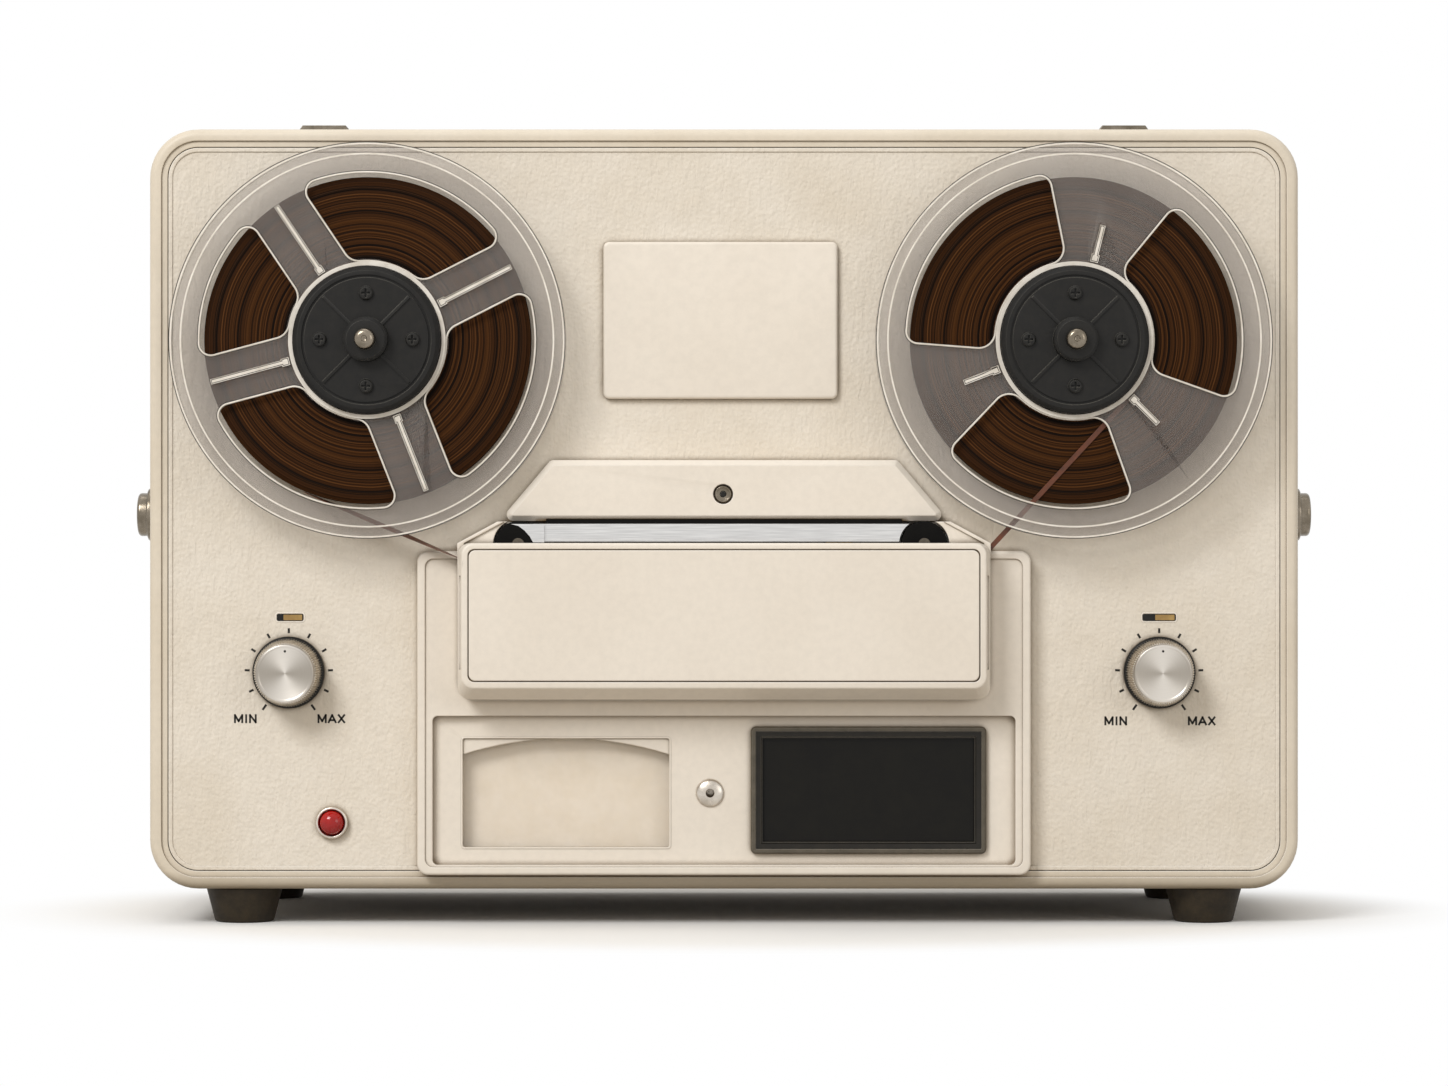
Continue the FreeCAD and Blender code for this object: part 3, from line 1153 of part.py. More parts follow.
def head_housing():
    """The open tray round the heads: floor, side walls with tape ports, sloping shoulders and cheeks."""
    outer = prism(housing_outline(0.0), -HOUSING_PROUD, DECK_DEPTH)
    outer = outer.makeFillet(HOUSING_CORNER, low_corner_edges(outer))
    floor_front = DECK_DEPTH - HOUSING_FLOOR
    hollow = prism(housing_outline(HOUSING_WALL), -HOUSING_PROUD, floor_front)
    hollow = hollow.makeFillet(HOUSING_CORNER - HOUSING_WALL, low_corner_edges(hollow))
    tray = outer.cut(hollow)
    tray = joined([tray, housing_cheek(-1, LEFT_ROLLER_X), housing_cheek(1, RIGHT_ROLLER_X)])
    port_back = -TAPE_BACK + TAPE_PORT_BACK_SPACE
    port_front = -TAPE_FRONT - TAPE_PORT_FRONT_SPACE
    half = TAPE_PORT_HEIGHT / 2
    edge = HOUSING_HALF_WIDTH
    tray = tray.cut(block(-edge, -edge + HOUSING_WALL, port_front, port_back,
                          LEFT_PORT_Z - half, LEFT_PORT_Z + half))
    tray = tray.cut(block(edge - HOUSING_WALL, edge, port_front, port_back,
                          RIGHT_PORT_Z - half, RIGHT_PORT_Z + half))
    return tray.cut(disc(CAPSTAN_X, CAPSTAN_Z, BEARING_RADIUS + FIT_GAP, floor_front, DECK_DEPTH))


def head_plate():
    """The machined plate that carries the heads and pins."""
    back = DECK_DEPTH - HOUSING_FLOOR
    plate = block(-PLATE_HALF_WIDTH, PLATE_HALF_WIDTH, -PLATE_FRONT, back, PLATE_BOTTOM, PLATE_TOP,
                  PLATE_CORNER)
    return plate.cut(disc(CAPSTAN_X, CAPSTAN_Z, BEARING_RADIUS + SCREW_HOLE_GAP, -PLATE_FRONT, back))


def tape_head(x, width):
    """A head: a block with a rounded nose under the tape, standing on the head plate."""
    top = TAPE_UNDERSIDE - HEAD_TAPE_GAP
    body = block(x - width / 2, x + width / 2, -HEAD_PROUD, -PLATE_FRONT, top - HEAD_HEIGHT, top)
    nose = [edge for edge in edges_along(body, Vector(0, 1, 0))
            if edge.CenterOfMass.z > top - HEAD_NOSE_ROUND]
    return body.makeFillet(min(HEAD_NOSE_ROUND, width * HEAD_NOSE_SHARE), nose)


def tape_heads():
    """The erase head, then the record head and three playback heads, which are alike."""
    widths = [ERASE_HEAD_WIDTH] + [HEAD_WIDTH] * (HEAD_COUNT - 1)
    return Part.Compound([tape_head(x, width) for x, width in zip(HEAD_X, widths)])


def cover_outline(inset, front):
    """The head cover's outline at its seat or at its front, as left, right, bottom and top."""
    half = COVER_HALF_WIDTH if front else HOUSING_HALF_WIDTH - FIT_GAP
    bottom = COVER_BOTTOM if front else HOUSING_BOTTOM + FIT_GAP
    return -half + inset, half - inset, bottom + inset, COVER_TOP - inset


def rounded_wire(outline, corner, depth):
    """A rounded rectangle facing the front, at one depth."""
    left, right, bottom, top = outline
    slab = block(left, right, depth, depth + corner, bottom, top, corner)
    faces = [face for face in slab.Faces if abs(face.CenterOfMass.y - (FRONT_Y + depth)) < 1e-4]
    return faces[0].OuterWire


def cover_body(inset, seat, front):
    """A tapered block from the cover's seat to its front, both given proud."""
    corner = COVER_CORNER - inset
    wires = [rounded_wire(cover_outline(inset, False), corner, -seat),
             rounded_wire(cover_outline(inset, True), corner, -front)]
    return Part.makeLoft(wires, True, True)


def head_cover():
    """The pull-off head cover: a tapered shell with grips, two tabs and a pocket for its inset."""
    seat = HOUSING_PROUD + COVER_SEAT_GAP
    shell = cover_body(0.0, seat, COVER_PROUD)
    shell = shell.makeFillet(COVER_EDGE_ROUND, edges_at_depth(shell, -COVER_PROUD))
    shell = shell.cut(cover_body(COVER_WALL, seat, COVER_PROUD - COVER_WALL - INSET_POCKET))
    left, right, bottom, top = cover_outline(INSET_MARGIN, True)
    shell = shell.cut(block(left, right, -COVER_PROUD, -COVER_PROUD + INSET_POCKET, bottom, top,
                            INSET_CORNER))
    for side in (-1, 1):
        outer = side * HOUSING_HALF_WIDTH
        inner = side * (COVER_HALF_WIDTH - GRIP_DEPTH)
        grip_middle = -(seat + COVER_PROUD) / 2
        shell = shell.cut(block(min(outer, inner), max(outer, inner), grip_middle - GRIP_WIDTH / 2,
                                grip_middle + GRIP_WIDTH / 2, GRIP_BOTTOM, GRIP_TOP))
        wall_inside = HOUSING_HALF_WIDTH - HOUSING_WALL - FIT_GAP
        tab = sorted((side * wall_inside, side * (wall_inside - COVER_TAB_WIDTH)))
        shell = shell.fuse(block(tab[0], tab[1], -seat - COVER_WALL, -seat + COVER_TRAVEL_TAB,
                                 COVER_TAB_BOTTOM, COVER_TAB_TOP))
    return shell


def head_cover_inset():
    """The flat plate bonded in the head cover's pocket."""
    left, right, bottom, top = cover_outline(INSET_MARGIN + INSET_GROOVE, True)
    back = COVER_PROUD - INSET_POCKET
    return block(left, right, -back - INSET_THICKNESS, -back, bottom, top, INSET_CORNER)


# --- Capstan drive ---

def capstan_shaft():
    """The capstan: a long ground shaft."""
    shaft = disc(CAPSTAN_X, CAPSTAN_Z, CAPSTAN_RADIUS, -CAPSTAN_PROUD,
                 FLYWHEEL_DEPTH + FLYWHEEL_THICKNESS + SHAFT_TAIL)
    return shaft.makeChamfer(CAPSTAN_CHAMFER, edges_at_depth(shaft, -CAPSTAN_PROUD))


def capstan_bearing():
    """The long bearing sleeve with a flange that seats on the chassis plate's front."""
    bore = CAPSTAN_RADIUS + CAPSTAN_CLEARANCE
    flange_near = CHASSIS_DEPTH - BEARING_FLANGE_THICKNESS
    profile = [(bore, -BEARING_PROUD), (BEARING_RADIUS, -BEARING_PROUD), (BEARING_RADIUS, flange_near),
               (BEARING_FLANGE_RADIUS, flange_near), (BEARING_FLANGE_RADIUS, CHASSIS_DEPTH),
               (BEARING_RADIUS, CHASSIS_DEPTH), (BEARING_RADIUS, BEARING_END_DEPTH),
               (bore, BEARING_END_DEPTH)]
    return turned(CAPSTAN_X, CAPSTAN_Z, profile)


def flywheel():
    """The flywheel, heavy at the rim, pressed on the capstan."""
    near = FLYWHEEL_DEPTH
    far = near + FLYWHEEL_THICKNESS
    web_far = far - FLYWHEEL_WEB_RECESS
    rim = FLYWHEEL_RADIUS - FLYWHEEL_RIM_WIDTH
    profile = [(CAPSTAN_RADIUS, near), (FLYWHEEL_RADIUS, near), (FLYWHEEL_RADIUS, far), (rim, far),
               (rim, web_far), (FLYWHEEL_HUB_RADIUS, web_far), (FLYWHEEL_HUB_RADIUS, far),
               (CAPSTAN_RADIUS, far)]
    return turned(CAPSTAN_X, CAPSTAN_Z, profile)


def drive_motor():
    """The capstan motor behind the chassis plate, its shaft to the rear."""
    near = CHASSIS_DEPTH + CHASSIS_THICKNESS
    far = near + MOTOR_LENGTH
    can = disc(MOTOR_X, CAPSTAN_Z, MOTOR_RADIUS, near, far)
    can = can.makeChamfer(MOTOR_EDGE, edges_at_depth(can, far))
    boss = disc(MOTOR_X, CAPSTAN_Z, MOTOR_END_BOSS_RADIUS, far, far + MOTOR_END_BOSS_HEIGHT)
    bore = disc(MOTOR_X, CAPSTAN_Z, MOTOR_SHAFT_RADIUS + PIN_CLEARANCE, near + MOTOR_LENGTH / 2,
                far + MOTOR_END_BOSS_HEIGHT)
    return can.fuse(boss).cut(bore)


def motor_pulley():
    """The motor's shaft and its flanged pulley."""
    middle = FLYWHEEL_DEPTH + FLYWHEEL_THICKNESS / 2
    half = BELT_WIDTH / 2 + BELT_GAP
    flange = half + PULLEY_FLANGE_THICKNESS
    shaft_near = CHASSIS_DEPTH + CHASSIS_THICKNESS + MOTOR_LENGTH / 2 + FIT_GAP
    profile = [(0.0, shaft_near), (MOTOR_SHAFT_RADIUS, shaft_near), (MOTOR_SHAFT_RADIUS, middle - flange),
               (PULLEY_FLANGE_RADIUS, middle - flange), (PULLEY_FLANGE_RADIUS, middle - half),
               (PULLEY_RADIUS, middle - half), (PULLEY_RADIUS, middle + half),
               (PULLEY_FLANGE_RADIUS, middle + half), (PULLEY_FLANGE_RADIUS, middle + flange),
               (0.0, middle + flange)]
    return turned(MOTOR_X, CAPSTAN_Z, profile)


def belt_body(growth):
    """The loop's filled outline, grown from the bare pulley and flywheel."""
    near = FLYWHEEL_DEPTH + (FLYWHEEL_THICKNESS - BELT_WIDTH) / 2
    far = near + BELT_WIDTH
    big = FLYWHEEL_RADIUS + growth
    small = PULLEY_RADIUS + growth
    lean = math.acos((big - small) / (CAPSTAN_X - MOTOR_X))
    along = -math.cos(lean)
    across = math.sin(lean)
    sides = [(CAPSTAN_X + big * along, CAPSTAN_Z + big * across),
             (MOTOR_X + small * along, CAPSTAN_Z + small * across),
             (MOTOR_X + small * along, CAPSTAN_Z - small * across),
             (CAPSTAN_X + big * along, CAPSTAN_Z - big * across)]
    wheels = [disc(CAPSTAN_X, CAPSTAN_Z, big, near, far), disc(MOTOR_X, CAPSTAN_Z, small, near, far)]
    return joined(wheels + [prism(sides, near, far)])


def drive_belt():
    """The flat rubber belt."""
    return belt_body(BELT_GAP + BELT_THICKNESS).cut(belt_body(BELT_GAP))


def pinch_arm():
    """The pinch arm: a tapered lever with the roller's axle."""
    back = -PINCH_ARM_BACK_PROUD
    front = back - PINCH_ARM_THICKNESS
    ends = [disc(PINCH_PIVOT_X, PINCH_Z, PINCH_ARM_PIVOT_END, front, back),
            disc(PINCH_X, PINCH_Z, PINCH_ARM_ROLLER_END, front, back)]
    web = prism([(PINCH_X, PINCH_Z - PINCH_ARM_ROLLER_END), (PINCH_PIVOT_X, PINCH_Z - PINCH_ARM_PIVOT_END),
                 (PINCH_PIVOT_X, PINCH_Z + PINCH_ARM_PIVOT_END), (PINCH_X, PINCH_Z + PINCH_ARM_ROLLER_END)],
                front, back)
    axle = disc(PINCH_X, PINCH_Z, PINCH_AXLE_RADIUS, -HEAD_PROUD, front)
    arm = joined(ends + [web, axle])
    return arm.cut(disc(PINCH_PIVOT_X, PINCH_Z, PINCH_PIVOT_RADIUS + PIN_CLEARANCE, front, back))


def pinch_roller():
    """The rubber pinch roller."""
    back = -PINCH_ARM_BACK_PROUD - PINCH_ARM_THICKNESS - FIT_GAP
    return ring(PINCH_X, PINCH_Z, PINCH_ROLLER_RADIUS, PINCH_AXLE_RADIUS + PIN_CLEARANCE, -HEAD_PROUD, back)


# --- Knobs and lamps ---

def knurled_body(x, near, far):
    """A skirt with straight flutes all round."""
    corners = []
    for number in range(2 * KNURL_COUNT):
        radius = KNOB_SKIRT_RADIUS - KNURL_DEPTH * (number % 2)
        angle = math.pi * number / KNURL_COUNT
        corners.append((x + radius * math.cos(angle), KNOB_Z + radius * math.sin(angle)))
    return prism(corners, near, far)


def knob(x):
    """A turned knob with a fluted skirt, dished cap, pointer dot and its shaft."""
    back = -KNOB_RING_PROUD - KNOB_GAP
    collar = back - KNOB_COLLAR_HEIGHT
    cap = -KNOB_PROUD + KNOB_CAP_HEIGHT
    base = disc(x, KNOB_Z, KNOB_SKIRT_RADIUS, collar, back)
    face = disc(x, KNOB_Z, KNOB_FACE_RADIUS, -KNOB_PROUD, cap)
    face = face.makeChamfer(KNOB_CAP_DISH, edges_at_depth(face, -KNOB_PROUD))
    shaft = disc(x, KNOB_Z, POT_SHAFT_RADIUS, back, DECK_BACK + POT_BODY_LENGTH - WALL)
    body = joined([base, knurled_body(x, cap, collar), face, shaft])
    dot = disc(x, KNOB_Z + KNOB_DOT_CIRCLE, KNOB_DOT_RADIUS, -KNOB_PROUD, -KNOB_PROUD + KNOB_DOT_DEPTH)
    return body.cut(dot)


def knob_ring(x):
    """The black ring round the foot of a knob."""
    body = ring(x, KNOB_Z, KNOB_RING_RADIUS, POT_BUSH_RADIUS + SCREW_HOLE_GAP, -KNOB_RING_PROUD, DECK_DEPTH)
    outer = [edge for edge in edges_at_depth(body, -KNOB_RING_PROUD)
             if edge.BoundBox.XLength > KNOB_RING_RADIUS]
    return body.makeChamfer(KNOB_RING_CHAMFER, outer)


def knob_rings():
    return Part.Compound([knob_ring(-KNOB_X), knob_ring(KNOB_X)])


def potentiometer(x):
    """A potentiometer: a can behind the deck and a bush through it."""
    bush_front = -KNOB_RING_PROUD + SCREW_HOLE_GAP
    bore = POT_SHAFT_RADIUS + POT_CLEARANCE
    can = disc(x, KNOB_Z, POT_BODY_RADIUS, DECK_BACK, DECK_BACK + POT_BODY_LENGTH)
    bush = disc(x, KNOB_Z, POT_BUSH_RADIUS, bush_front, DECK_BACK)
    return can.fuse(bush).cut(disc(x, KNOB_Z, bore, bush_front, DECK_BACK + POT_BODY_LENGTH - FIT_GAP))


def potentiometers():
    return Part.Compound([potentiometer(-KNOB_X), potentiometer(KNOB_X)])


def slot_lens(x, width):
    """A narrow lens that fills its slot from behind, with a flange on the deck's back."""
    half = width / 2 - SLOT_LENS_GAP
    half_height = SLOT_HEIGHT / 2 - SLOT_LENS_GAP
    bar = block(x - half, x + half, DECK_DEPTH + SLOT_LENS_RECESS, DECK_BACK,
                SLOT_Z - half_height, SLOT_Z + half_height)
    wide = half + SLOT_FLANGE_MARGIN
    high = half_height + SLOT_FLANGE_MARGIN
    flange = block(x - wide, x + wide, DECK_BACK, SLOT_LENS_DEPTH, SLOT_Z - high, SLOT_Z + high)
    return joined([bar, flange])


def slot_lenses():
    return Part.Compound([slot_lens(x, width) for x, width in slot_openings()])


def lamp_bezel():
    """The lamp's chrome ring with its barrel through the deck."""
    inner = LAMP_LENS_RADIUS + LAMP_GAP
    front = -LAMP_BEZEL_PROUD
    barrel_end = DECK_BACK + LAMP_BARREL_LENGTH
    profile = [(0.0, LAMP_SEAT), (inner, LAMP_SEAT), (inner, front),
               (inner + LAMP_LIP_WIDTH, front - LAMP_LIP_RISE),
               (LAMP_BEZEL_RADIUS, LAMP_SEAT), (LAMP_BEZEL_RADIUS, DECK_DEPTH),
               (LAMP_BARREL_RADIUS, DECK_DEPTH), (LAMP_BARREL_RADIUS, barrel_end), (0.0, barrel_end)]
    return turned(LAMP_X, LAMP_Z, profile)


def lamp_lens():
    """The domed lens inside the ring."""
    body = disc(LAMP_X, LAMP_Z, LAMP_LENS_RADIUS, -LAMP_LENS_PROUD, LAMP_SEAT)
    return body.makeFillet(LAMP_LENS_RADIUS * LAMP_DOME_SHARE, edges_at_depth(body, -LAMP_LENS_PROUD))


# --- Lower control panel ---

def meter_opening(near, far, growth=0.0):
    """The meter window's outline: a rectangle with a shallow arc for its top."""
    half = METER_WIDTH / 2 + growth
    opening = block(METER_X - half, METER_X + half, near, far, METER_BOTTOM - growth, METER_TOP + growth,
                    METER_CORNER)
    return opening.common(disc(METER_X, METER_TOP - METER_ARC_RADIUS, METER_ARC_RADIUS + growth, near, far))


def lower_control_panel():
    """The raised panel round the head housing, with a sunk bay for the meter and the dark window."""
    plate = block(-PANEL_HALF_WIDTH, PANEL_HALF_WIDTH, -PANEL_PROUD, DECK_DEPTH, PANEL_BOTTOM, PANEL_TOP,
                  PANEL_CORNER)
    plate = plate.makeFillet(PANEL_EDGE_ROUND, edges_at_depth(plate, -PANEL_PROUD))
    inner = PANEL_HALF_WIDTH - PANEL_RIM
    field_near = -PANEL_PROUD
    field_far = -PANEL_PROUD + PANEL_RIM_STEP
    plate = plate.cut(block(-inner, inner, field_near, field_far, PANEL_BOTTOM + PANEL_RIM,
                            PANEL_TOP - PANEL_RIM, PANEL_CORNER - PANEL_EDGE_ROUND))
    plate = plate.cut(block(-BAY_HALF_WIDTH, BAY_HALF_WIDTH, -PANEL_PROUD, -BAY_PROUD, BAY_BOTTOM, BAY_TOP,
                            BAY_CORNER))
    side = HOUSING_HALF_WIDTH + FIT_GAP
    notch = block(-side, side, -PANEL_PROUD, DECK_DEPTH, HOUSING_BOTTOM - FIT_GAP, PANEL_TOP + HOUSING_CORNER,
                  HOUSING_CORNER)
    plate = plate.cut(notch)
    bead_top = CASE_BASE + DECK_MARGIN + DECK_BEAD_WIDTH + FIT_GAP
    plate = plate.cut(block(-PANEL_HALF_WIDTH, PANEL_HALF_WIDTH, RIM_STEP, DECK_DEPTH,
                            PANEL_BOTTOM, bead_top))
    plate = plate.cut(block(METER_LEFT, METER_RIGHT, -BAY_PROUD, -BAY_PROUD + METER_STEP,
                            METER_BOTTOM, METER_TOP, METER_CORNER))
    plate = plate.cut(meter_opening(-BAY_PROUD, DECK_DEPTH))
    plate = plate.cut(disc(JACK_X, JACK_Z, JACK_BARREL_RADIUS + SCREW_HOLE_GAP, -BAY_PROUD, DECK_DEPTH))
    lap = WINDOW_FRAME_SIDE - GLASS_LAP
    return plate.cut(block(WINDOW_LEFT + lap, WINDOW_RIGHT - lap, -BAY_PROUD, DECK_DEPTH,
                           WINDOW_BOTTOM + lap, WINDOW_TOP - lap))


def meter_glass():
    """The clear pane in the meter's opening."""
    front = -METER_GLASS_PROUD
    return meter_opening(front, front + METER_GLASS_THICKNESS, -SLOT_LENS_GAP)


def meter_case():
    """The meter's case behind the panel, open to the front."""
    half = METER_WIDTH / 2 + METER_MARGIN
    bottom = METER_PIVOT_Z - NEEDLE_HUB_RADIUS - METER_CASE_WALL
    top = METER_TOP + METER_CASE_WALL
    near = DECK_DEPTH
    shell = block(METER_X - half, METER_X + half, near, METER_CASE_DEPTH, bottom, top)
    wall = METER_CASE_WALL
    hollow = block(METER_X - half + wall, METER_X + half - wall, near, METER_CASE_DEPTH - wall,
                   bottom + wall, top - wall)
    return shell.cut(hollow)


def meter_face():
    """The blank dial plate with a movement block behind it."""
    half = METER_WIDTH / 2 + METER_MARGIN - METER_CASE_WALL
    bottom = METER_PIVOT_Z - NEEDLE_HUB_RADIUS
    plate = block(METER_X - half, METER_X + half, METER_FACE_DEPTH, METER_FACE_DEPTH + METER_FACE_THICKNESS,
                  bottom, METER_TOP)
    movement = block(METER_X - MOVEMENT_HALF_WIDTH, METER_X + MOVEMENT_HALF_WIDTH,
                     METER_FACE_DEPTH + METER_FACE_THICKNESS, METER_CASE_DEPTH - METER_CASE_WALL,
                     bottom, bottom + MOVEMENT_HEIGHT)
    body = joined([plate, movement])
    return body.cut(disc(METER_X, METER_PIVOT_Z, NEEDLE_STAFF_RADIUS + PIN_CLEARANCE, METER_FACE_DEPTH,
                         METER_FACE_DEPTH + NEEDLE_STAFF_LENGTH + FIT_GAP))


def meter_needle():
    """The needle on its hub, parked behind the opening's lower edge."""
    front = METER_FACE_DEPTH - NEEDLE_FACE_GAP
    tip_x = METER_X + NEEDLE_LENGTH
    root = NEEDLE_WIDTH
    tip = NEEDLE_WIDTH / 4
    blade = prism([(METER_X, METER_PIVOT_Z - root), (tip_x, METER_PIVOT_Z - tip),
                   (tip_x, METER_PIVOT_Z + tip), (METER_X, METER_PIVOT_Z + root)],
                  front, front + NEEDLE_THICKNESS)
    blade = turned_about(blade, METER_X, METER_PIVOT_Z, NEEDLE_REST_ANGLE)
    hub = disc(METER_X, METER_PIVOT_Z, NEEDLE_HUB_RADIUS - FIT_GAP, front, METER_FACE_DEPTH - FIT_GAP)
    staff = disc(METER_X, METER_PIVOT_Z, NEEDLE_STAFF_RADIUS, front, METER_FACE_DEPTH + NEEDLE_STAFF_LENGTH)
    return joined([blade, hub, staff])


def window_bezel():
    """The dark window's frame: bevelled, with a spigot that fits the panel's opening."""
    frame = block(WINDOW_LEFT, WINDOW_RIGHT, -WINDOW_FRAME_PROUD, -BAY_PROUD, WINDOW_BOTTOM, WINDOW_TOP,
                  WINDOW_FRAME_CORNER)
    frame = frame.makeChamfer(WINDOW_BEVEL, edges_at_depth(frame, -WINDOW_FRAME_PROUD))
    lap = WINDOW_FRAME_SIDE - GLASS_LAP + SLOT_LENS_GAP
    spigot = block(WINDOW_LEFT + lap, WINDOW_RIGHT - lap, -BAY_PROUD, DECK_BACK,
                   WINDOW_BOTTOM + lap, WINDOW_TOP - lap)
    side = WINDOW_FRAME_SIDE
    opening = block(WINDOW_LEFT + side, WINDOW_RIGHT - side, -WINDOW_FRAME_PROUD, DECK_DEPTH,
                    WINDOW_BOTTOM + side, WINDOW_TOP - side)
    return joined([frame, spigot]).cut(opening)


def smoked_glass():
    """The dark pane inside the frame."""
    side = WINDOW_FRAME_SIDE
    return block(WINDOW_LEFT + side, WINDOW_RIGHT - side, -BAY_PROUD, -BAY_PROUD + GLASS_THICKNESS,
                 WINDOW_BOTTOM + side, WINDOW_TOP - side)


def front_jack():
    """The small jack: domed nut, barrel and body, bored through."""
    front = -BAY_PROUD - JACK_DOME_HEIGHT
    end = JACK_LENGTH
    shoulder = DECK_BACK + JACK_BODY_GAP
    body = JACK_BARREL_RADIUS + JACK_BODY_STEP
    floor = end - JACK_END_WALL
    profile = [(JACK_BORE_RADIUS, front), (JACK_DOME_RADIUS - JACK_DOME_FLAT, front),
               (JACK_DOME_RADIUS, -BAY_PROUD - JACK_DOME_EDGE), (JACK_DOME_RADIUS, -BAY_PROUD),
               (JACK_BARREL_RADIUS, -BAY_PROUD), (JACK_BARREL_RADIUS, shoulder),
               (body, shoulder), (body, end), (0.0, end), (0.0, floor), (JACK_BORE_RADIUS, floor)]
    return turned(JACK_X, JACK_Z, profile)


# --- Rear connectors and electronics ---

def rear_jack(x):
    """A chassis jack: body behind the cover, barrel through it and a hexagon nut outside."""
    end = COVER_FAR + REAR_BARREL_PROUD
    start = end - REAR_JACK_LENGTH
    barrel = disc(x, REAR_JACK_Z, REAR_BARREL_RADIUS, COVER_NEAR, end)
    body = disc(x, REAR_JACK_Z, REAR_BODY_RADIUS, start, COVER_NEAR)
    sixths = [math.pi / 3 * number for number in range(6)]
    corners = [(x + REAR_NUT_RADIUS * math.cos(angle), REAR_JACK_Z + REAR_NUT_RADIUS * math.sin(angle))
               for angle in sixths]
    nut = prism(corners, COVER_FAR, COVER_FAR + REAR_NUT_THICKNESS)
    jack = joined([barrel, body, nut])
    return jack.cut(disc(x, REAR_JACK_Z, REAR_BORE_RADIUS, start + JACK_END_WALL, end))


def rear_jacks():
    return Part.Compound([rear_jack(x) for x in REAR_JACK_X])


def inlet_mouth(near, far):
    """The inlet's cavity, its two upper corners cut off."""
    half = INLET_MOUTH_WIDTH / 2
    low = INLET_Z - INLET_MOUTH_HEIGHT / 2
    high = INLET_Z + INLET_MOUTH_HEIGHT / 2
    corners = [(INLET_X - half, low), (INLET_X + half, low), (INLET_X + half, high - INLET_CHAMFER),
               (INLET_X + half - INLET_CHAMFER, high), (INLET_X - half + INLET_CHAMFER, high),
               (INLET_X - half, high - INLET_CHAMFER)]
    return prism(corners, near, far)


def mains_inlet():
    """The mains inlet: flange on the rear cover, body behind it and three flat pins in the mouth."""
    end = COVER_FAR + INLET_FLANGE_PROUD
    flange = block(INLET_X - INLET_FLANGE_WIDTH / 2, INLET_X + INLET_FLANGE_WIDTH / 2, COVER_FAR, end,
                   INLET_Z - INLET_FLANGE_HEIGHT / 2, INLET_Z + INLET_FLANGE_HEIGHT / 2, INLET_FLANGE_CORNER)
    body = block(INLET_X - INLET_BODY_WIDTH / 2, INLET_X + INLET_BODY_WIDTH / 2, COVER_FAR - INLET_BODY_DEPTH,
                 COVER_FAR, INLET_Z - INLET_BODY_HEIGHT / 2, INLET_Z + INLET_BODY_HEIGHT / 2)
    floor = end - INLET_MOUTH_DEPTH
    inlet = joined([flange, body]).cut(inlet_mouth(floor, end))
    for x, z in ((-INLET_PIN_SPACING, 0.0), (INLET_PIN_SPACING, 0.0), (0.0, INLET_EARTH_RISE)):
        inlet = inlet.fuse(block(INLET_X + x - INLET_PIN_WIDTH / 2, INLET_X + x + INLET_PIN_WIDTH / 2, floor,
                                 floor + INLET_PIN_LENGTH, INLET_Z + z - INLET_PIN_HEIGHT / 2,
                                 INLET_Z + z + INLET_PIN_HEIGHT / 2))
    return inlet


def transformer():
    """The mains transformer: laminated core, coil and two mounting tabs on the cabinet's floor."""
    middle = TRANSFORMER_NEAR + COIL_DEPTH / 2
    core = block(TRANSFORMER_X - CORE_WIDTH / 2, TRANSFORMER_X + CORE_WIDTH / 2, middle - CORE_DEPTH / 2,
                 middle + CORE_DEPTH / 2, FLOOR_Z, FLOOR_Z + CORE_HEIGHT)
    coil_low = FLOOR_Z + (CORE_HEIGHT - COIL_HEIGHT) / 2
    coil = block(TRANSFORMER_X - COIL_WIDTH / 2, TRANSFORMER_X + COIL_WIDTH / 2, TRANSFORMER_NEAR,
                 TRANSFORMER_NEAR + COIL_DEPTH, coil_low, coil_low + COIL_HEIGHT)
    reach = CORE_WIDTH / 2 + TAB_WIDTH
    tabs = block(TRANSFORMER_X - reach, TRANSFORMER_X + reach, middle - CORE_DEPTH / 2,
                 middle + CORE_DEPTH / 2, FLOOR_Z, FLOOR_Z + TAB_THICKNESS)
    return joined([core, coil, tabs])


def main_board():
    """The circuit board on its posts, with capacitors and chips."""
    base = FLOOR_Z + BOARD_POST_HEIGHT
    top = base + BOARD_THICKNESS
    board = block(BOARD_LEFT, BOARD_RIGHT, BOARD_NEAR, BOARD_FAR, base, top)
    middle = (BOARD_NEAR + BOARD_FAR) / 2
    capacitors = [Part.makeCylinder(CAPACITOR_RADIUS, CAPACITOR_HEIGHT, at(x, middle, top))
                  for x in CAPACITOR_X]
    chips = [block(x - CHIP_LENGTH / 2, x + CHIP_LENGTH / 2, middle - CHIP_WIDTH / 2, middle + CHIP_WIDTH / 2,
                   top, top + CHIP_HEIGHT) for x in CHIP_X]
    return joined([board] + capacitors + chips)


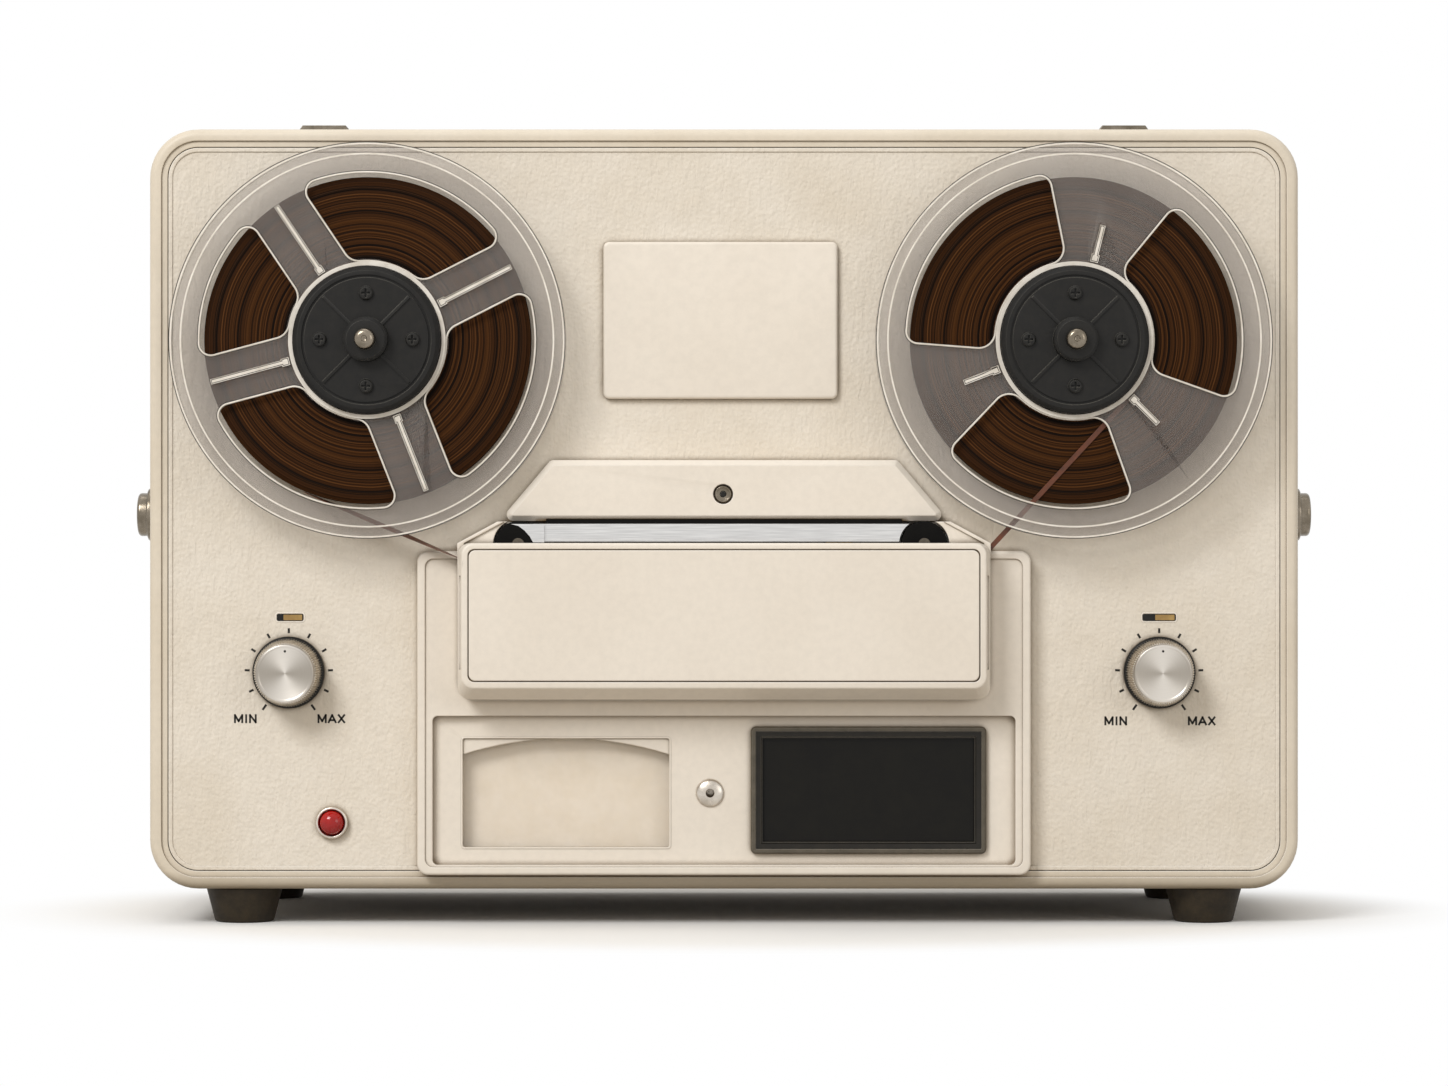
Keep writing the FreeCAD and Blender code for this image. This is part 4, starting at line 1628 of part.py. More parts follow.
def nodes():
    """Every piece of the unit by its name."""
    left_windows = (LEFT_SPOKES, LEFT_SPOKE_FLARE, LEFT_RIB_OUTER)
    right_windows = (RIGHT_SPOKES, RIGHT_SPOKE_FLARE, RIGHT_RIB_OUTER)
    pieces = {
        "cabinet_wrap": cabinet_wrap(),
        "rear_cover": rear_cover(),
        "screws": screws(),
        "feet": feet(),
        "lid_catches": lid_catches(),
        "left_side_button": side_button(-1),
        "right_side_button": side_button(1),
        "button_bezels": button_bezels(),
        "deck_panel": deck_panel(),
        "chassis_plate": chassis_plate(),
        "nameplate_pad": nameplate_pad(),
        "bridge_cover": bridge_cover(),
        "reel_motors": reel_motors(),
        "tape_run": tape_run(),
        "deck_pins": deck_pins(),
        "tape_shield": tape_shield(),
        "left_guide_roller": guide_roller(LEFT_ROLLER_X),
        "right_guide_roller": guide_roller(RIGHT_ROLLER_X),
        "head_housing": head_housing(),
        "head_plate": head_plate(),
        "tape_heads": tape_heads(),
        "head_cover": head_cover(),
        "head_cover_inset": head_cover_inset(),
        "capstan_shaft": capstan_shaft(),
        "capstan_bearing": capstan_bearing(),
        "flywheel": flywheel(),
        "drive_motor": drive_motor(),
        "motor_pulley": motor_pulley(),
        "drive_belt": drive_belt(),
        "pinch_arm": pinch_arm(),
        "pinch_roller": pinch_roller(),
        "left_knob": knob(-KNOB_X),
        "right_knob": knob(KNOB_X),
        "knob_rings": knob_rings(),
        "potentiometers": potentiometers(),
        "slot_lenses": slot_lenses(),
        "lamp_bezel": lamp_bezel(),
        "lamp_lens": lamp_lens(),
        "lower_control_panel": lower_control_panel(),
        "meter_glass": meter_glass(),
        "meter_case": meter_case(),
        "meter_face": meter_face(),
        "meter_needle": meter_needle(),
        "window_bezel": window_bezel(),
        "smoked_glass": smoked_glass(),
        "front_jack": front_jack(),
        "rear_jacks": rear_jacks(),
        "mains_inlet": mains_inlet(),
        "transformer": transformer(),
        "main_board": main_board(),
    }
    for side, x, windows in (("left", LEFT_REEL_X, left_windows), ("right", RIGHT_REEL_X, right_windows)):
        pieces[side + "_reel_front"] = reel_front(x, *windows)
        pieces[side + "_reel_back"] = reel_back(x)
        pieces[side + "_tape_pack"] = tape_pack(x)
        pieces[side + "_hub_cap"] = hub_cap(x)
        pieces[side + "_spindle"] = spindle(x)
    return pieces


def main():
    os.makedirs("parts", exist_ok=True)
    for name, shape in nodes().items():
        shape.exportStep("parts/" + name + ".step")


main()
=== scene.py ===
"""Tape echo unit: finishes and fine pieces for the fixed frame, laid out as an add-on."""
from math import acos, cos, pi, radians, sin

import bmesh
import bpy
from mathutils import Matrix, Vector


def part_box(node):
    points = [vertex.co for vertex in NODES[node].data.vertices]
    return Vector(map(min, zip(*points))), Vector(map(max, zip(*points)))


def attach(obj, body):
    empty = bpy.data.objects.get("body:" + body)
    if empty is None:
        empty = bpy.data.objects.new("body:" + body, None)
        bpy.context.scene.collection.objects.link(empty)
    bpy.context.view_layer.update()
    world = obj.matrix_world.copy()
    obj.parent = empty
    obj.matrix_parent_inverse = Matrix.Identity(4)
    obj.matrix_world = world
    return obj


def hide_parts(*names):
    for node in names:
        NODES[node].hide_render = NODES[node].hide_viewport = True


bl_info = {
    "name": "Tape Echo Unit",
    "version": (1, 0, 0),
    "blender": (4, 5, 0),
    "location": "View3D > Sidebar > Tape Echo",
    "description": "Builds the moulded, turned and printed pieces of an upright tape echo unit",
    "category": "Object",
}

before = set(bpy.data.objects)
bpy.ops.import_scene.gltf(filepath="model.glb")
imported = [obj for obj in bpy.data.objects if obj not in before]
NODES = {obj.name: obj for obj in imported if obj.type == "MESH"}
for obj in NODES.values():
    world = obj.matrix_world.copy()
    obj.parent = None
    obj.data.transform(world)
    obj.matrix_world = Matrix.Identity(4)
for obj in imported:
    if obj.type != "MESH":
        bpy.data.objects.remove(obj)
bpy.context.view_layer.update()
MM = 0.001
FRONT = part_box("cabinet_wrap")[0].y / MM

# Sizes and places in mm. A place is x and z on the front, and a height is proud of the case's front.
# A profile is a row of (radius, height) points.
SECTORS = 6
SECTOR_SHIFT = 0.35
CORNER_ANGLE = 25.0
RIBBON_STEPS = 24

SCREW_PLACE = (-0.4, 194.6)
SCREW_CLEARING = 6.0
SCREW_PROFILE = ((0.0, 12.5), (1.35, 12.5), (1.5, 13.45), (2.6, 13.45), (3.0, 13.85), (3.5, 13.85),
                 (3.9, 13.4), (3.9, 11.4), (1.6, 11.4), (1.6, -6.0), (0.0, -6.0))
SOCKET_HEIGHT = 13.4

FLANGE_FACE = 19.5
BEAD_FACE = 20.3
HUB_RADIUS = 33.5
PACK_RADIUS = 71.5
REEL_RADIUS = 89.0
LIP_WIDTH = 0.85
LIP_SLOPE = 0.18
LIP_FALL = 0.3
LINE_WIDTH = 0.4
GROOVE_EDGE = 0.45
GROOVE_DEPTH = 0.3
TURNS_PROFILE = ((71.5, 10.3), (73.4, 10.6), (73.4, 15.4), (71.5, 15.8))
SPINDLE_STEPS = ((0.75, 0.0), (0.3, -0.4), (1.6, -0.25))

PORT_X = 118.0
LEFT_PORT_Z = 165.4
RIGHT_PORT_Z = 170.4
TAPE_MIDDLE = 12.95
STRAND_MIDDLE = 16.8
LEFT_STRAND = (6.0, radians(16), 0.2)
RIGHT_STRAND = (0.3, radians(6), 2.2)
ROLLER_SHARE = 0.985
# A black strip that stands in for the shadow in the gap between the bridge cover and the shield.
SHADOW_STRIP_SIZE = (160.0, 2.0, 0.3)
SHADOW_STRIP_RISE = 4.5
SHADOW_STRIP_PLACE = (0, 182.3, 8.5)
SHIELD_END = ((-95.6, 181.1), (-92.2, 180.3), (-89.4, 178.2), (-87.0, 175.5), (-85.6, 172.9),
              (-80.5, 172.9), (-80.5, 181.1))
SHIELD_END_HEIGHT = 19.3
SHIELD_END_SHEET = 0.4

DECK_PROUD = -1.5
PRINT_DEPTH = -0.06
SKIRT_FOOT = 2.5
SKIRT_CORNERS = 168
TOOTH_SHARE = 0.95
SKIRT_STEPS = ((1.0, 0.8), (0.93, 11.2), (0.965, 1.6))
CAP_PROFILE = ((0.0, 17.55), (6.0, 17.6), (11.6, 17.7), (12.0, 18.0), (12.7, 18.0), (13.3, 17.3),
               (13.3, 14.0), (0.0, 14.0))
INDEX_PROFILE = ((0.0, 17.5), (0.0, 17.78), (0.55, 17.78), (0.55, 17.5))
INDEX_RISE = 10.0
TICKS = 11
TICK_START = 17.8
END_TICK_EXTRA = 0.7
KNOB_TURN = 145
LETTER_STROKES = {
    "M": (((0, 0), (0, 1)), ((0, 1), (0.5, 0.15)), ((0.5, 0.15), (1, 1)), ((1, 1), (1, 0))),
    "I": (((0, 0), (0, 1)),),
    "N": (((0, 0), (0, 1)), ((0, 1), (1, 0)), ((1, 0), (1, 1))),
    "A": (((0, 0), (0.5, 1)), ((0.5, 1), (1, 0)), ((0.2, 0.3), (0.8, 0.3))),
    "X": (((0, 0), (1, 1)), ((0, 1), (1, 0))),
}
LETTER_WIDTHS = {"M": 3.3, "I": 0.0, "N": 2.6, "A": 3.2, "X": 2.6}
WORDS = (("left_min", "MIN", -221.8, 91.0, 1.75), ("left_max", "MAX", -184.0, 91.0, 1.3),
         ("right_min", "MIN", 172.2, 90.0, 1.75), ("right_max", "MAX", 210.0, 90.0, 1.3))
SLOT_HEIGHT = 3.3
# Each slot: x and z, its width, and the share at its left end left black as painted shade.
SLOTS = {"left": (-196.4, 138.9, 12.2, 0.2), "right": (197.0, 138.9, 15.2, 0.34)}
SLOT_LIP_STEPS = ((0.0, 0.1), (0.25, 0.1), (0.35, 0.0), (0.15, -0.15))
BEZEL_PROFILE = ((5.7, -19.0), (6.4, -19.0), (6.4, -1.5), (7.25, -1.5), (7.25, 1.2), (6.95, 1.8),
                 (6.3, 1.95), (5.9, 1.5), (5.7, 0.4))
DOME_FOOT = 0.6
DOME_RISE = 4.4

PANEL_FACE = 3.0
METER_PLACE = (-71.35, 59.75)
METER_LIP = (94.9, 50.7)
METER_LIP_STEPS = ((0.0, 0.2), (0.25, 0.12), (0.4, 0.0), (0.15, -0.3))
FRAME_STEPS = ((0.0, 2.2), (0.6, 0.7), (1.6, 0.0), (0.1, -0.8))
FRAME_RAIL = 4.5
RECESS_STEPS = ((0.0, 2.2), (2.3, -0.5), (0.35, 0.4), (0.45, -0.1), (0.2, -1.9))
JACK_PLACE = (-6.3, 59.7)
JACK_BORE = ((0.0, -18.0), (1.8, -18.0), (1.8, 4.95), (2.0, 5.25))
JACK_BODY = ((6.25, 3.0), (4.0, 3.0), (4.0, -3.5), (5.5, -3.5), (5.5, -20.0), (0.0, -20.0))
JACK_DOME = (6.25, 3.3, 2.1, 14)
JACK_RIM = 2.3

# Sizes in metres
FLOOR_HALF_WIDTH = 8.0
AIM = (0.0, 0.0, 0.17)
CAMERA_HEIGHT = 0.1726
FOCAL_LENGTH = 115.4
SENSOR_WIDTH = 36.0
LAMPS = (("key_softbox", (-1.9, -3.0, 2.7), 1.5, 110.0),
         ("fill_softbox", (2.2, -2.6, 0.9), 1.4, 12.0),
         ("top_softbox", (-0.1, 0.25, 2.2), 1.0, 5.0))
WHITE = (1.0, 1.0, 1.0, 1.0)


# --- Colour, nodes and meshes ---

def linear(code):
    """The linear colour of an sRGB hex code; a colour that is linear already stays as it is."""
    if not isinstance(code, str):
        return tuple(code)
    parts = [int(code[i:i + 2], 16) / 255 for i in (0, 2, 4)]
    return tuple(p / 12.92 if p <= 0.04045 else ((p + 0.055) / 1.055) ** 2.4 for p in parts) + (1.0,)


def put(tree, kind, feeds=None, **settings):
    """Adds a node, gives it its settings, and feeds its inputs with values or other nodes' outputs."""
    node = tree.nodes.new("ShaderNode" + kind)
    for name, value in settings.items():
        setattr(node, name, value)
    for socket, value in (feeds or {}).items():
        if isinstance(value, bpy.types.NodeSocket):
            tree.links.new(value, node.inputs[socket])
        else:
            node.inputs[socket].default_value = value
    return node


def stops(ramp, *marks):
    """Sets a colour ramp's marks, each a place and a grey level or a colour."""
    elements = ramp.color_ramp.elements
    while len(elements) < len(marks):
        elements.new(0.5)
    for element, (place, value) in zip(elements, marks):
        element.position = place
        element.color = value if isinstance(value, tuple) else (value, value, value, 1.0)
    return ramp


def surface(name, **sockets):
    """A new material, its node tree and its Principled shader with the given socket values."""
    material = bpy.data.materials.new(name)
    material.use_nodes = True
    tree = material.node_tree
    shader = tree.nodes["Principled BSDF"]
    for socket, value in sockets.items():
        shader.inputs[socket.replace("_", " ")].default_value = value
    return material, tree, shader


def feed(tree, shader, **sockets):
    """Links a shader's sockets to other nodes' outputs."""
    for socket, output in sockets.items():
        tree.links.new(output, shader.inputs[socket.replace("_", " ")])


def front(x, z, proud=0.0):
    """Stands a shape drawn flat, with its height along Z, on the front at x and z, in mm."""
    return Matrix.Translation((x, FRONT - proud, z)) @ Matrix.Rotation(pi / 2, 4, "X")


def piece(name, bm, material, body, stands_for=(), place=None, sharp=35.0):
    """Makes a finished piece of a bmesh drawn in mm."""
    if place is not None:
        bmesh.ops.transform(bm, matrix=place, verts=bm.verts)
    bmesh.ops.transform(bm, matrix=Matrix.Scale(MM, 4), verts=bm.verts)
    mesh = bpy.data.meshes.new(name)
    bm.to_mesh(mesh)
    bm.free()
    mesh.shade_smooth()
    mesh.set_sharp_from_angle(angle=radians(sharp))
    mesh.materials.append(material)
    thing = bpy.data.objects.new(name, mesh)
    bpy.context.scene.collection.objects.link(thing)
    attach(thing, body)
    if stands_for:
        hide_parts(*stands_for)
    return thing


def spun(points, steps=96, closed=False, soft=0.0):
    """Turns a profile round the Z axis and rounds the corners that it leaves."""
    bm = bmesh.new()
    verts = [bm.verts.new((radius, 0.0, height)) for radius, height in points]
    pairs = list(zip(verts, verts[1:])) + ([(verts[-1], verts[0])] if closed else [])
    edges = [bm.edges.new(pair) for pair in pairs]
    bmesh.ops.spin(bm, geom=verts + edges, cent=(0, 0, 0), axis=(0, 0, 1), angle=2 * pi,
                   steps=steps, use_merge=True)
    bmesh.ops.remove_doubles(bm, verts=bm.verts, dist=0.001)
    bmesh.ops.recalc_face_normals(bm, faces=bm.faces)
    if soft:
        corners = [edge for edge in bm.edges if len(edge.link_faces) == 2
                   and edge.calc_face_angle() > radians(CORNER_ANGLE)]
        bmesh.ops.bevel(bm, geom=corners, offset=soft, offset_type="OFFSET", segments=2, profile=0.5,
                        material=-1, affect="EDGES", clamp_overlap=True)
    return bm


def everything(bm):
    """All of a bmesh's parts, as the cutting operator wants them."""
    return bm.verts[:] + bm.edges[:] + bm.faces[:]


def carried(node, hub=None):
    """A merged copy of a CAD node's mesh, in mm, with its flat faces made whole, or whole in sectors."""
    bm = bmesh.new()
    bm.from_mesh(NODES[node].data)
    bmesh.ops.transform(bm, matrix=Matrix.Scale(1 / MM, 4), verts=bm.verts)
    bmesh.ops.remove_doubles(bm, verts=bm.verts, dist=0.002)
    if hub is not None:
        for step in range(SECTORS):
            angle = pi * (step + SECTOR_SHIFT) / SECTORS
            cut = bmesh.ops.bisect_plane(bm, geom=everything(bm), dist=0.001, plane_co=(hub[0], 0, hub[1]),
                                         plane_no=(sin(angle), 0, cos(angle)))
            for item in cut["geom_cut"]:
                if isinstance(item, bmesh.types.BMEdge):
                    item.seam = True
    bmesh.ops.dissolve_limit(bm, angle_limit=radians(0.6), verts=bm.verts, edges=bm.edges,
                             use_dissolve_boundaries=False, delimit={"SEAM"})
    return bm


def softened(node, material, width, body="root", segments=2):
    """Puts a copy of a CAD node with rounded edges in the node's place."""
    return rounded(piece(node + "_soft", carried(node), material, body, (node,)), width, segments)


def rounded(thing, width, segments=2, angle=30.0):
    """Rounds a piece's edges, by a width in mm."""
    bevel = thing.modifiers.new("Soft edges", "BEVEL")
    bevel.width = width * MM
    bevel.segments = segments
    bevel.limit_method = "ANGLE"
    bevel.angle_limit = radians(angle)
    bevel.harden_normals = True
    return thing


def domed(radius, base, rise, count):
    """The profile of a dome from its foot to its crown."""
    return [(radius * cos(pi / 2 * step / count), base + rise * sin(pi / 2 * step / count))
            for step in range(count + 1)]


def stepped(width, height, corner, steps, open_top=False):
    """A rounded rectangle drawn flat, then drawn in and raised step by step."""
    bm = bmesh.new()
    corners = [bm.verts.new((x * width / 2, y * height / 2, 0.0))
               for x, y in ((-1, -1), (1, -1), (1, 1), (-1, 1))]
    bm.faces.new(corners)
    if corner:
        bmesh.ops.bevel(bm, geom=corners, offset=corner, offset_type="OFFSET", segments=5, profile=0.5,
                        material=-1, affect="VERTICES")
    top = bm.faces[:][0]
    for drawn_in, rise in steps:
        if drawn_in:
            bmesh.ops.inset_region(bm, faces=[top], thickness=drawn_in, use_even_offset=True,
                                   use_boundary=True)
        else:
            top = bmesh.ops.extrude_discrete_faces(bm, faces=[top])["faces"][0]
        bmesh.ops.translate(bm, vec=(0, 0, rise), verts=top.verts)
    if open_top:
        bmesh.ops.delete(bm, geom=[top], context="FACES_ONLY")
    return bm


def twisted_ribbon(start, end, width, tilt, thickness):
    """A tape's free span between two places, edge-on at its ends and turned a little between them."""
    bm = bmesh.new()
    along = end - start
    rest = [bm.verts.new(start + Vector((0, y * width / 2, 0))) for y in (-1, 1)]
    edge = bm.edges.new(rest)
    for step in range(RIBBON_STEPS):
        grown = bmesh.ops.extrude_edge_only(bm, edges=[edge])["geom"]
        verts = [item for item in grown if isinstance(item, bmesh.types.BMVert)]
        edge = next(item for item in grown if isinstance(item, bmesh.types.BMEdge)
                    and all(vert in verts for vert in item.verts))
        bmesh.ops.translate(bm, vec=along / RIBBON_STEPS, verts=verts)
        turn = tilt * (sin(pi * (step + 1) / RIBBON_STEPS) - sin(pi * step / RIBBON_STEPS))
        bmesh.ops.rotate(bm, cent=(verts[0].co + verts[1].co) / 2, verts=verts,
                         matrix=Matrix.Rotation(turn, 3, along.normalized()))
    bmesh.ops.solidify(bm, geom=bm.faces[:], thickness=thickness)
    bmesh.ops.recalc_face_normals(bm, faces=bm.faces)
    return bm


def tangent(x, z, radius, far_x, far_z, side):
    """Where a tape from a far place touches a circle, on one side of it."""
    reach = Vector((far_x - x, far_z - z))
    turn = side * acos(radius / reach.length)
    toward = reach.normalized() * radius
    return Vector((x + toward.x * cos(turn) - toward.y * sin(turn), 0,
                   z + toward.x * sin(turn) + toward.y * cos(turn)))


def centre(node):
    """The middle of a CAD node on the front elevation, in mm."""
    low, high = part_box(node)
    return (low.x + high.x) / 2 / MM, (low.z + high.z) / 2 / MM


def dress(material, *nodes):
    """Gives CAD nodes a finish."""
    for node in nodes:
        mesh = NODES[node].data
        mesh.materials.clear()
        mesh.materials.append(material)


# --- Finishes ---

def polar(tree, x, z):
    """Object coordinates, the way out from an axis through x and z, and the distance from it."""
    place = put(tree, "TexCoord").outputs["Object"]
    centred = put(tree, "Mapping", {"Vector": place, "Location": (-x * MM, 0, -z * MM)})
    flat = put(tree, "VectorMath", {0: centred.outputs[0], 1: (1.0, 0.0, 1.0)}, operation="MULTIPLY")
    radius = put(tree, "VectorMath", {0: flat.outputs[0]}, operation="LENGTH")
    return place, flat.outputs[0], radius.outputs["Value"]


def seen_itself(tree):
    """Tells a look, a mirror's look and a look through glass from the light that a surface gives off."""
    path = put(tree, "LightPath")
    seen = put(tree, "Math", {0: path.outputs["Is Camera Ray"], 1: path.outputs["Is Glossy Ray"]},
               operation="MAXIMUM")
    return put(tree, "Math", {0: seen.outputs[0], 1: path.outputs["Is Transmission Ray"]},
               operation="MAXIMUM").outputs[0]


def lit_edges(tree, tone, gain, bright, dark, width=0.8):
    """Paints light on edges: those towards the upper left get a painted highlight and those away from it
    painted shade.
    """
    eased = put(tree, "Bevel", {"Radius": width * MM}, samples=4)
    own = put(tree, "NewGeometry")
    turn = put(tree, "VectorMath", {0: eased.outputs[0], 1: own.outputs["Normal"]}, operation="SUBTRACT")
    lean = put(tree, "VectorMath", {0: turn.outputs[0], 1: (-0.5, 0.0, 0.85)}, operation="DOT_PRODUCT")
    axes = put(tree, "SeparateXYZ", {"Vector": own.outputs["Normal"]})
    square = put(tree, "Math", {0: axes.outputs["Y"], 1: 4.0}, operation="POWER")
    share = put(tree, "Math", {0: square.outputs[0], 1: gain}, operation="MULTIPLY")
    lit = put(tree, "Math", {0: lean.outputs["Value"], 1: share.outputs[0]}, operation="MULTIPLY",
              use_clamp=True)
    back = put(tree, "Math", {0: lean.outputs["Value"], 1: -0.7}, operation="MULTIPLY")
    shaded = put(tree, "Math", {0: back.outputs[0], 1: share.outputs[0]}, operation="MULTIPLY",
                 use_clamp=True)
    paler = put(tree, "Mix", {0: lit.outputs[0], 6: tone, 7: linear(bright)}, data_type="RGBA")
    return put(tree, "Mix", {0: shaded.outputs[0], 6: paler.outputs[2], 7: linear(dark)},
               data_type="RGBA").outputs[2]


def moulded_cream(name, colour, shade, grain, depth, roughness, bottom_shade=0.0):
    """Moulded ABS, cream and yellowed by age: a soft sheen, a grained skin, dust and painted shade in its
    corners, painted highlights and shade on its edges, and painted shade along its bottom where asked.
    """
    if name in bpy.data.materials:
        return bpy.data.materials[name]
    material, tree, shader = surface(name, IOR=1.53, Specular_IOR_Level=0.45)
    place = put(tree, "TexCoord").outputs["Object"]
    blotch = put(tree, "TexNoise", {"Vector": place, "Scale": 1000 / 60, "Detail": 4.0, "Roughness": 0.6})
    speck = put(tree, "TexNoise", {"Vector": place, "Scale": 1000 / 3.5, "Detail": 3.0, "Roughness": 0.6})
    patch = stops(put(tree, "ValToRGB", {"Fac": blotch.outputs["Fac"]}), (0.4, 0.0), (0.8, 0.8))
    aged = put(tree, "Mix", {0: patch.outputs["Color"], 6: linear(colour), 7: linear(shade)},
               data_type="RGBA")
    worn = stops(put(tree, "ValToRGB", {"Fac": speck.outputs["Fac"]}), (0.3, 0.955), (0.62, 1.0))
    toned = put(tree, "Mix", {0: 1.0, 6: aged.outputs[2], 7: worn.outputs["Color"]},
                data_type="RGBA", blend_type="MULTIPLY")
    # Painted shade along the bottom: the colour darkens towards a brown below 24 mm, most at 16 mm, by the
    # given share.
    axes = put(tree, "SeparateXYZ", {"Vector": place})
    bottom_shade_mask = put(tree, "MapRange", {"Value": axes.outputs["Z"], 1: 16.0 * MM, 2: 24.0 * MM,
                                    3: bottom_shade, 4: 0.0})
    bottom_shaded = put(tree, "Mix", {0: bottom_shade_mask.outputs[0], 6: toned.outputs[2], 7: linear("78674A")},
                 data_type="RGBA")
    # Painted highlights on edges towards the upper left, painted shade on edges away from it.
    edge_lit = lit_edges(tree, bottom_shaded.outputs[2], 1.5, "FFFCF6", "86714F")
    # Dust and painted shade in the hollows: the colour turns brown where other surfaces lie within 4 mm.
    hollow = put(tree, "AmbientOcclusion", {"Distance": 0.004}, samples=6)
    dust_and_shade = stops(put(tree, "ValToRGB", {"Fac": hollow.outputs["AO"]}), (0.38, 1.0), (0.82, 0.0))
    dusted_and_shaded = put(tree, "Mix", {0: dust_and_shade.outputs["Color"], 6: edge_lit, 7: linear("705A3A")},
                 data_type="RGBA")
    feed(tree, shader, Base_Color=dusted_and_shaded.outputs[2])
    rough = put(tree, "MapRange", {"Value": speck.outputs["Fac"], 1: 0.3, 2: 0.7,
                                   3: roughness - 0.05, 4: roughness + 0.08})
    feed(tree, shader, Roughness=rough.outputs[0])
    hide = put(tree, "TexVoronoi", {"Vector": place, "Scale": 1000 / grain, "Randomness": 1.0},
               feature="SMOOTH_F1")
    drawn = put(tree, "Mapping", {"Vector": place, "Rotation": (0.0, radians(-38), 0.0),
                                  "Scale": (1.0, 1.0, 0.3)})
    ripple = put(tree, "TexNoise", {"Vector": drawn.outputs[0], "Scale": 1000 / (grain * 1.6),
                                    "Detail": 5.0, "Roughness": 0.62, "Distortion": 0.6})
    height = put(tree, "Math", {0: hide.outputs["Distance"], 1: 0.5, 2: ripple.outputs["Fac"]},
                 operation="MULTIPLY_ADD")
    bump = put(tree, "Bump", {"Height": height.outputs[0], "Strength": 0.6, "Distance": depth * MM})
    feed(tree, shader, Normal=bump.outputs[0])
    return material


def deck_cream():
    """The deck's skin: a leather grain about 1.6 mm across."""
    return moulded_cream("moulded_abs_leather_grain", tints().deck, tints().deck_aged, 1.6, 0.85, 0.56)


def case_cream():
    """The wrap's skin: the same ABS with a finer grain, and painted shade along its bottom."""
    return moulded_cream("moulded_abs_fine_grain", tints().case, tints().case_aged, 1.1, 0.08, 0.46, 0.75)


def cover_cream():
    """The covers' skin: smooth moulded ABS with a satin sheen."""
    return moulded_cream("moulded_abs_satin", tints().cover, tints().cover_aged, 0.9, 0.02, 0.34)


def clear_styrene():
    """Clear polystyrene, moulded, hazed with age: a cool grey veil over what lies behind."""
    name = "clear_polystyrene_hazed"
    if name in bpy.data.materials:
        return bpy.data.materials[name]
    material, tree, shader = surface(name, IOR=1.59)
    place = put(tree, "TexCoord").outputs["Object"]
    facing = put(tree, "SeparateXYZ", {"Vector": put(tree, "NewGeometry").outputs["Normal"]})
    square = put(tree, "Math", {0: facing.outputs["Y"]}, operation="ABSOLUTE")
    edge = stops(put(tree, "ValToRGB", {"Fac": square.outputs[0]}), (0.45, 1.0), (0.96, 0.0))
    smear = put(tree, "TexNoise", {"Vector": place, "Scale": 1000 / 34, "Detail": 5.0, "Roughness": 0.55,
                                   "Distortion": 0.5})
    haze = put(tree, "MapRange", {"Value": smear.outputs["Fac"], 1: 0.3, 2: 0.75, 3: 0.13, 4: 0.18})
    alpha = put(tree, "Mix", {0: edge.outputs["Color"], 2: haze.outputs[0], 3: 0.62})
    feed(tree, shader, Alpha=alpha.outputs[0])
    veil = put(tree, "Mix", {0: edge.outputs["Color"], 6: linear(tints().reel), 7: linear("A8A093")},
               data_type="RGBA")
    feed(tree, shader, Base_Color=veil.outputs[2])
    rough = put(tree, "MapRange", {"Value": smear.outputs["Fac"], 1: 0.3, 2: 0.7, 3: 0.22, 4: 0.36})
    feed(tree, shader, Roughness=rough.outputs[0])
    return material


def styrene_lip_highlight():
    """The same polystyrene on its rounded lips, ribs and beads, paler and more opaque: a painted highlight
    where it gathers light.
    """
    return plain("clear_polystyrene_bright_lip", "F8F2E8", "E0D8CB", 0.16, 1.5, 0.01, IOR=1.59, Alpha=0.88)


def styrene_shade():
    """The same polystyrene, dark: painted shade at the foot of a lip, in the ribs' grooves and round the
    rim, where it bends the light away.
    """
    return plain("clear_polystyrene_dark_line", "2C2720", "3C362D", 0.2, 1.5, 0.01, IOR=1.59, Alpha=0.8)


def wound_tape(side, x, z):
    """Oxide tape wound in a pack: dark brown, with rings of proud and sunken turns.

    Real turns lie about 0.05 mm apart. These are drawn 0.95 mm apart, so that they show.
    """
    material, tree, shader = surface("wound_oxide_tape_" + side, Roughness=0.5, Anisotropic=0.5,
                                     Specular_IOR_Level=0.05)
    place, flat, radius = polar(tree, x, z)
    drift = put(tree, "TexNoise", {"Vector": place, "Scale": 1000 / 24, "Detail": 2.0})
    wander = put(tree, "Math", {0: drift.outputs["Fac"], 1: 0.9 * MM, 2: radius},
                 operation="MULTIPLY_ADD").outputs[0]
    turns = put(tree, "TexNoise", {"W": wander, "Scale": 1000 / 0.95, "Detail": 3.0, "Roughness": 0.7},
                noise_dimensions="1D")
    bands = put(tree, "TexNoise", {"W": wander, "Scale": 1000 / 7.0, "Detail": 2.0}, noise_dimensions="1D")
    cracks = put(tree, "TexNoise", {"W": wander, "Scale": 1000 / 2.6, "Detail": 1.0}, noise_dimensions="1D")
    mixed = put(tree, "Math", {0: bands.outputs["Fac"], 1: 0.2, 2: turns.outputs["Fac"]},
                operation="MULTIPLY_ADD")
    brown = stops(put(tree, "ValToRGB", {"Fac": mixed.outputs[0]}),
                  (0.4, linear("120802")), (0.56, linear("2A1607")), (0.7, linear("442810")),
                  (0.88, linear("6A4424")))
    black = stops(put(tree, "ValToRGB", {"Fac": cracks.outputs["Fac"]}), (0.3, 0.12), (0.38, 1.0))
    cut = put(tree, "Mix", {0: 1.0, 6: brown.outputs["Color"], 7: black.outputs["Color"]},
              data_type="RGBA", blend_type="MULTIPLY")
    feed(tree, shader, Base_Color=cut.outputs[2])
    along = put(tree, "VectorMath", {0: flat, 1: (0.0, 1.0, 0.0)}, operation="CROSS_PRODUCT")
    feed(tree, shader, Tangent=along.outputs[0])
    bump = put(tree, "Bump", {"Height": turns.outputs["Fac"], "Strength": 0.8, "Distance": 0.22 * MM})
    feed(tree, shader, Normal=bump.outputs[0])
    return material


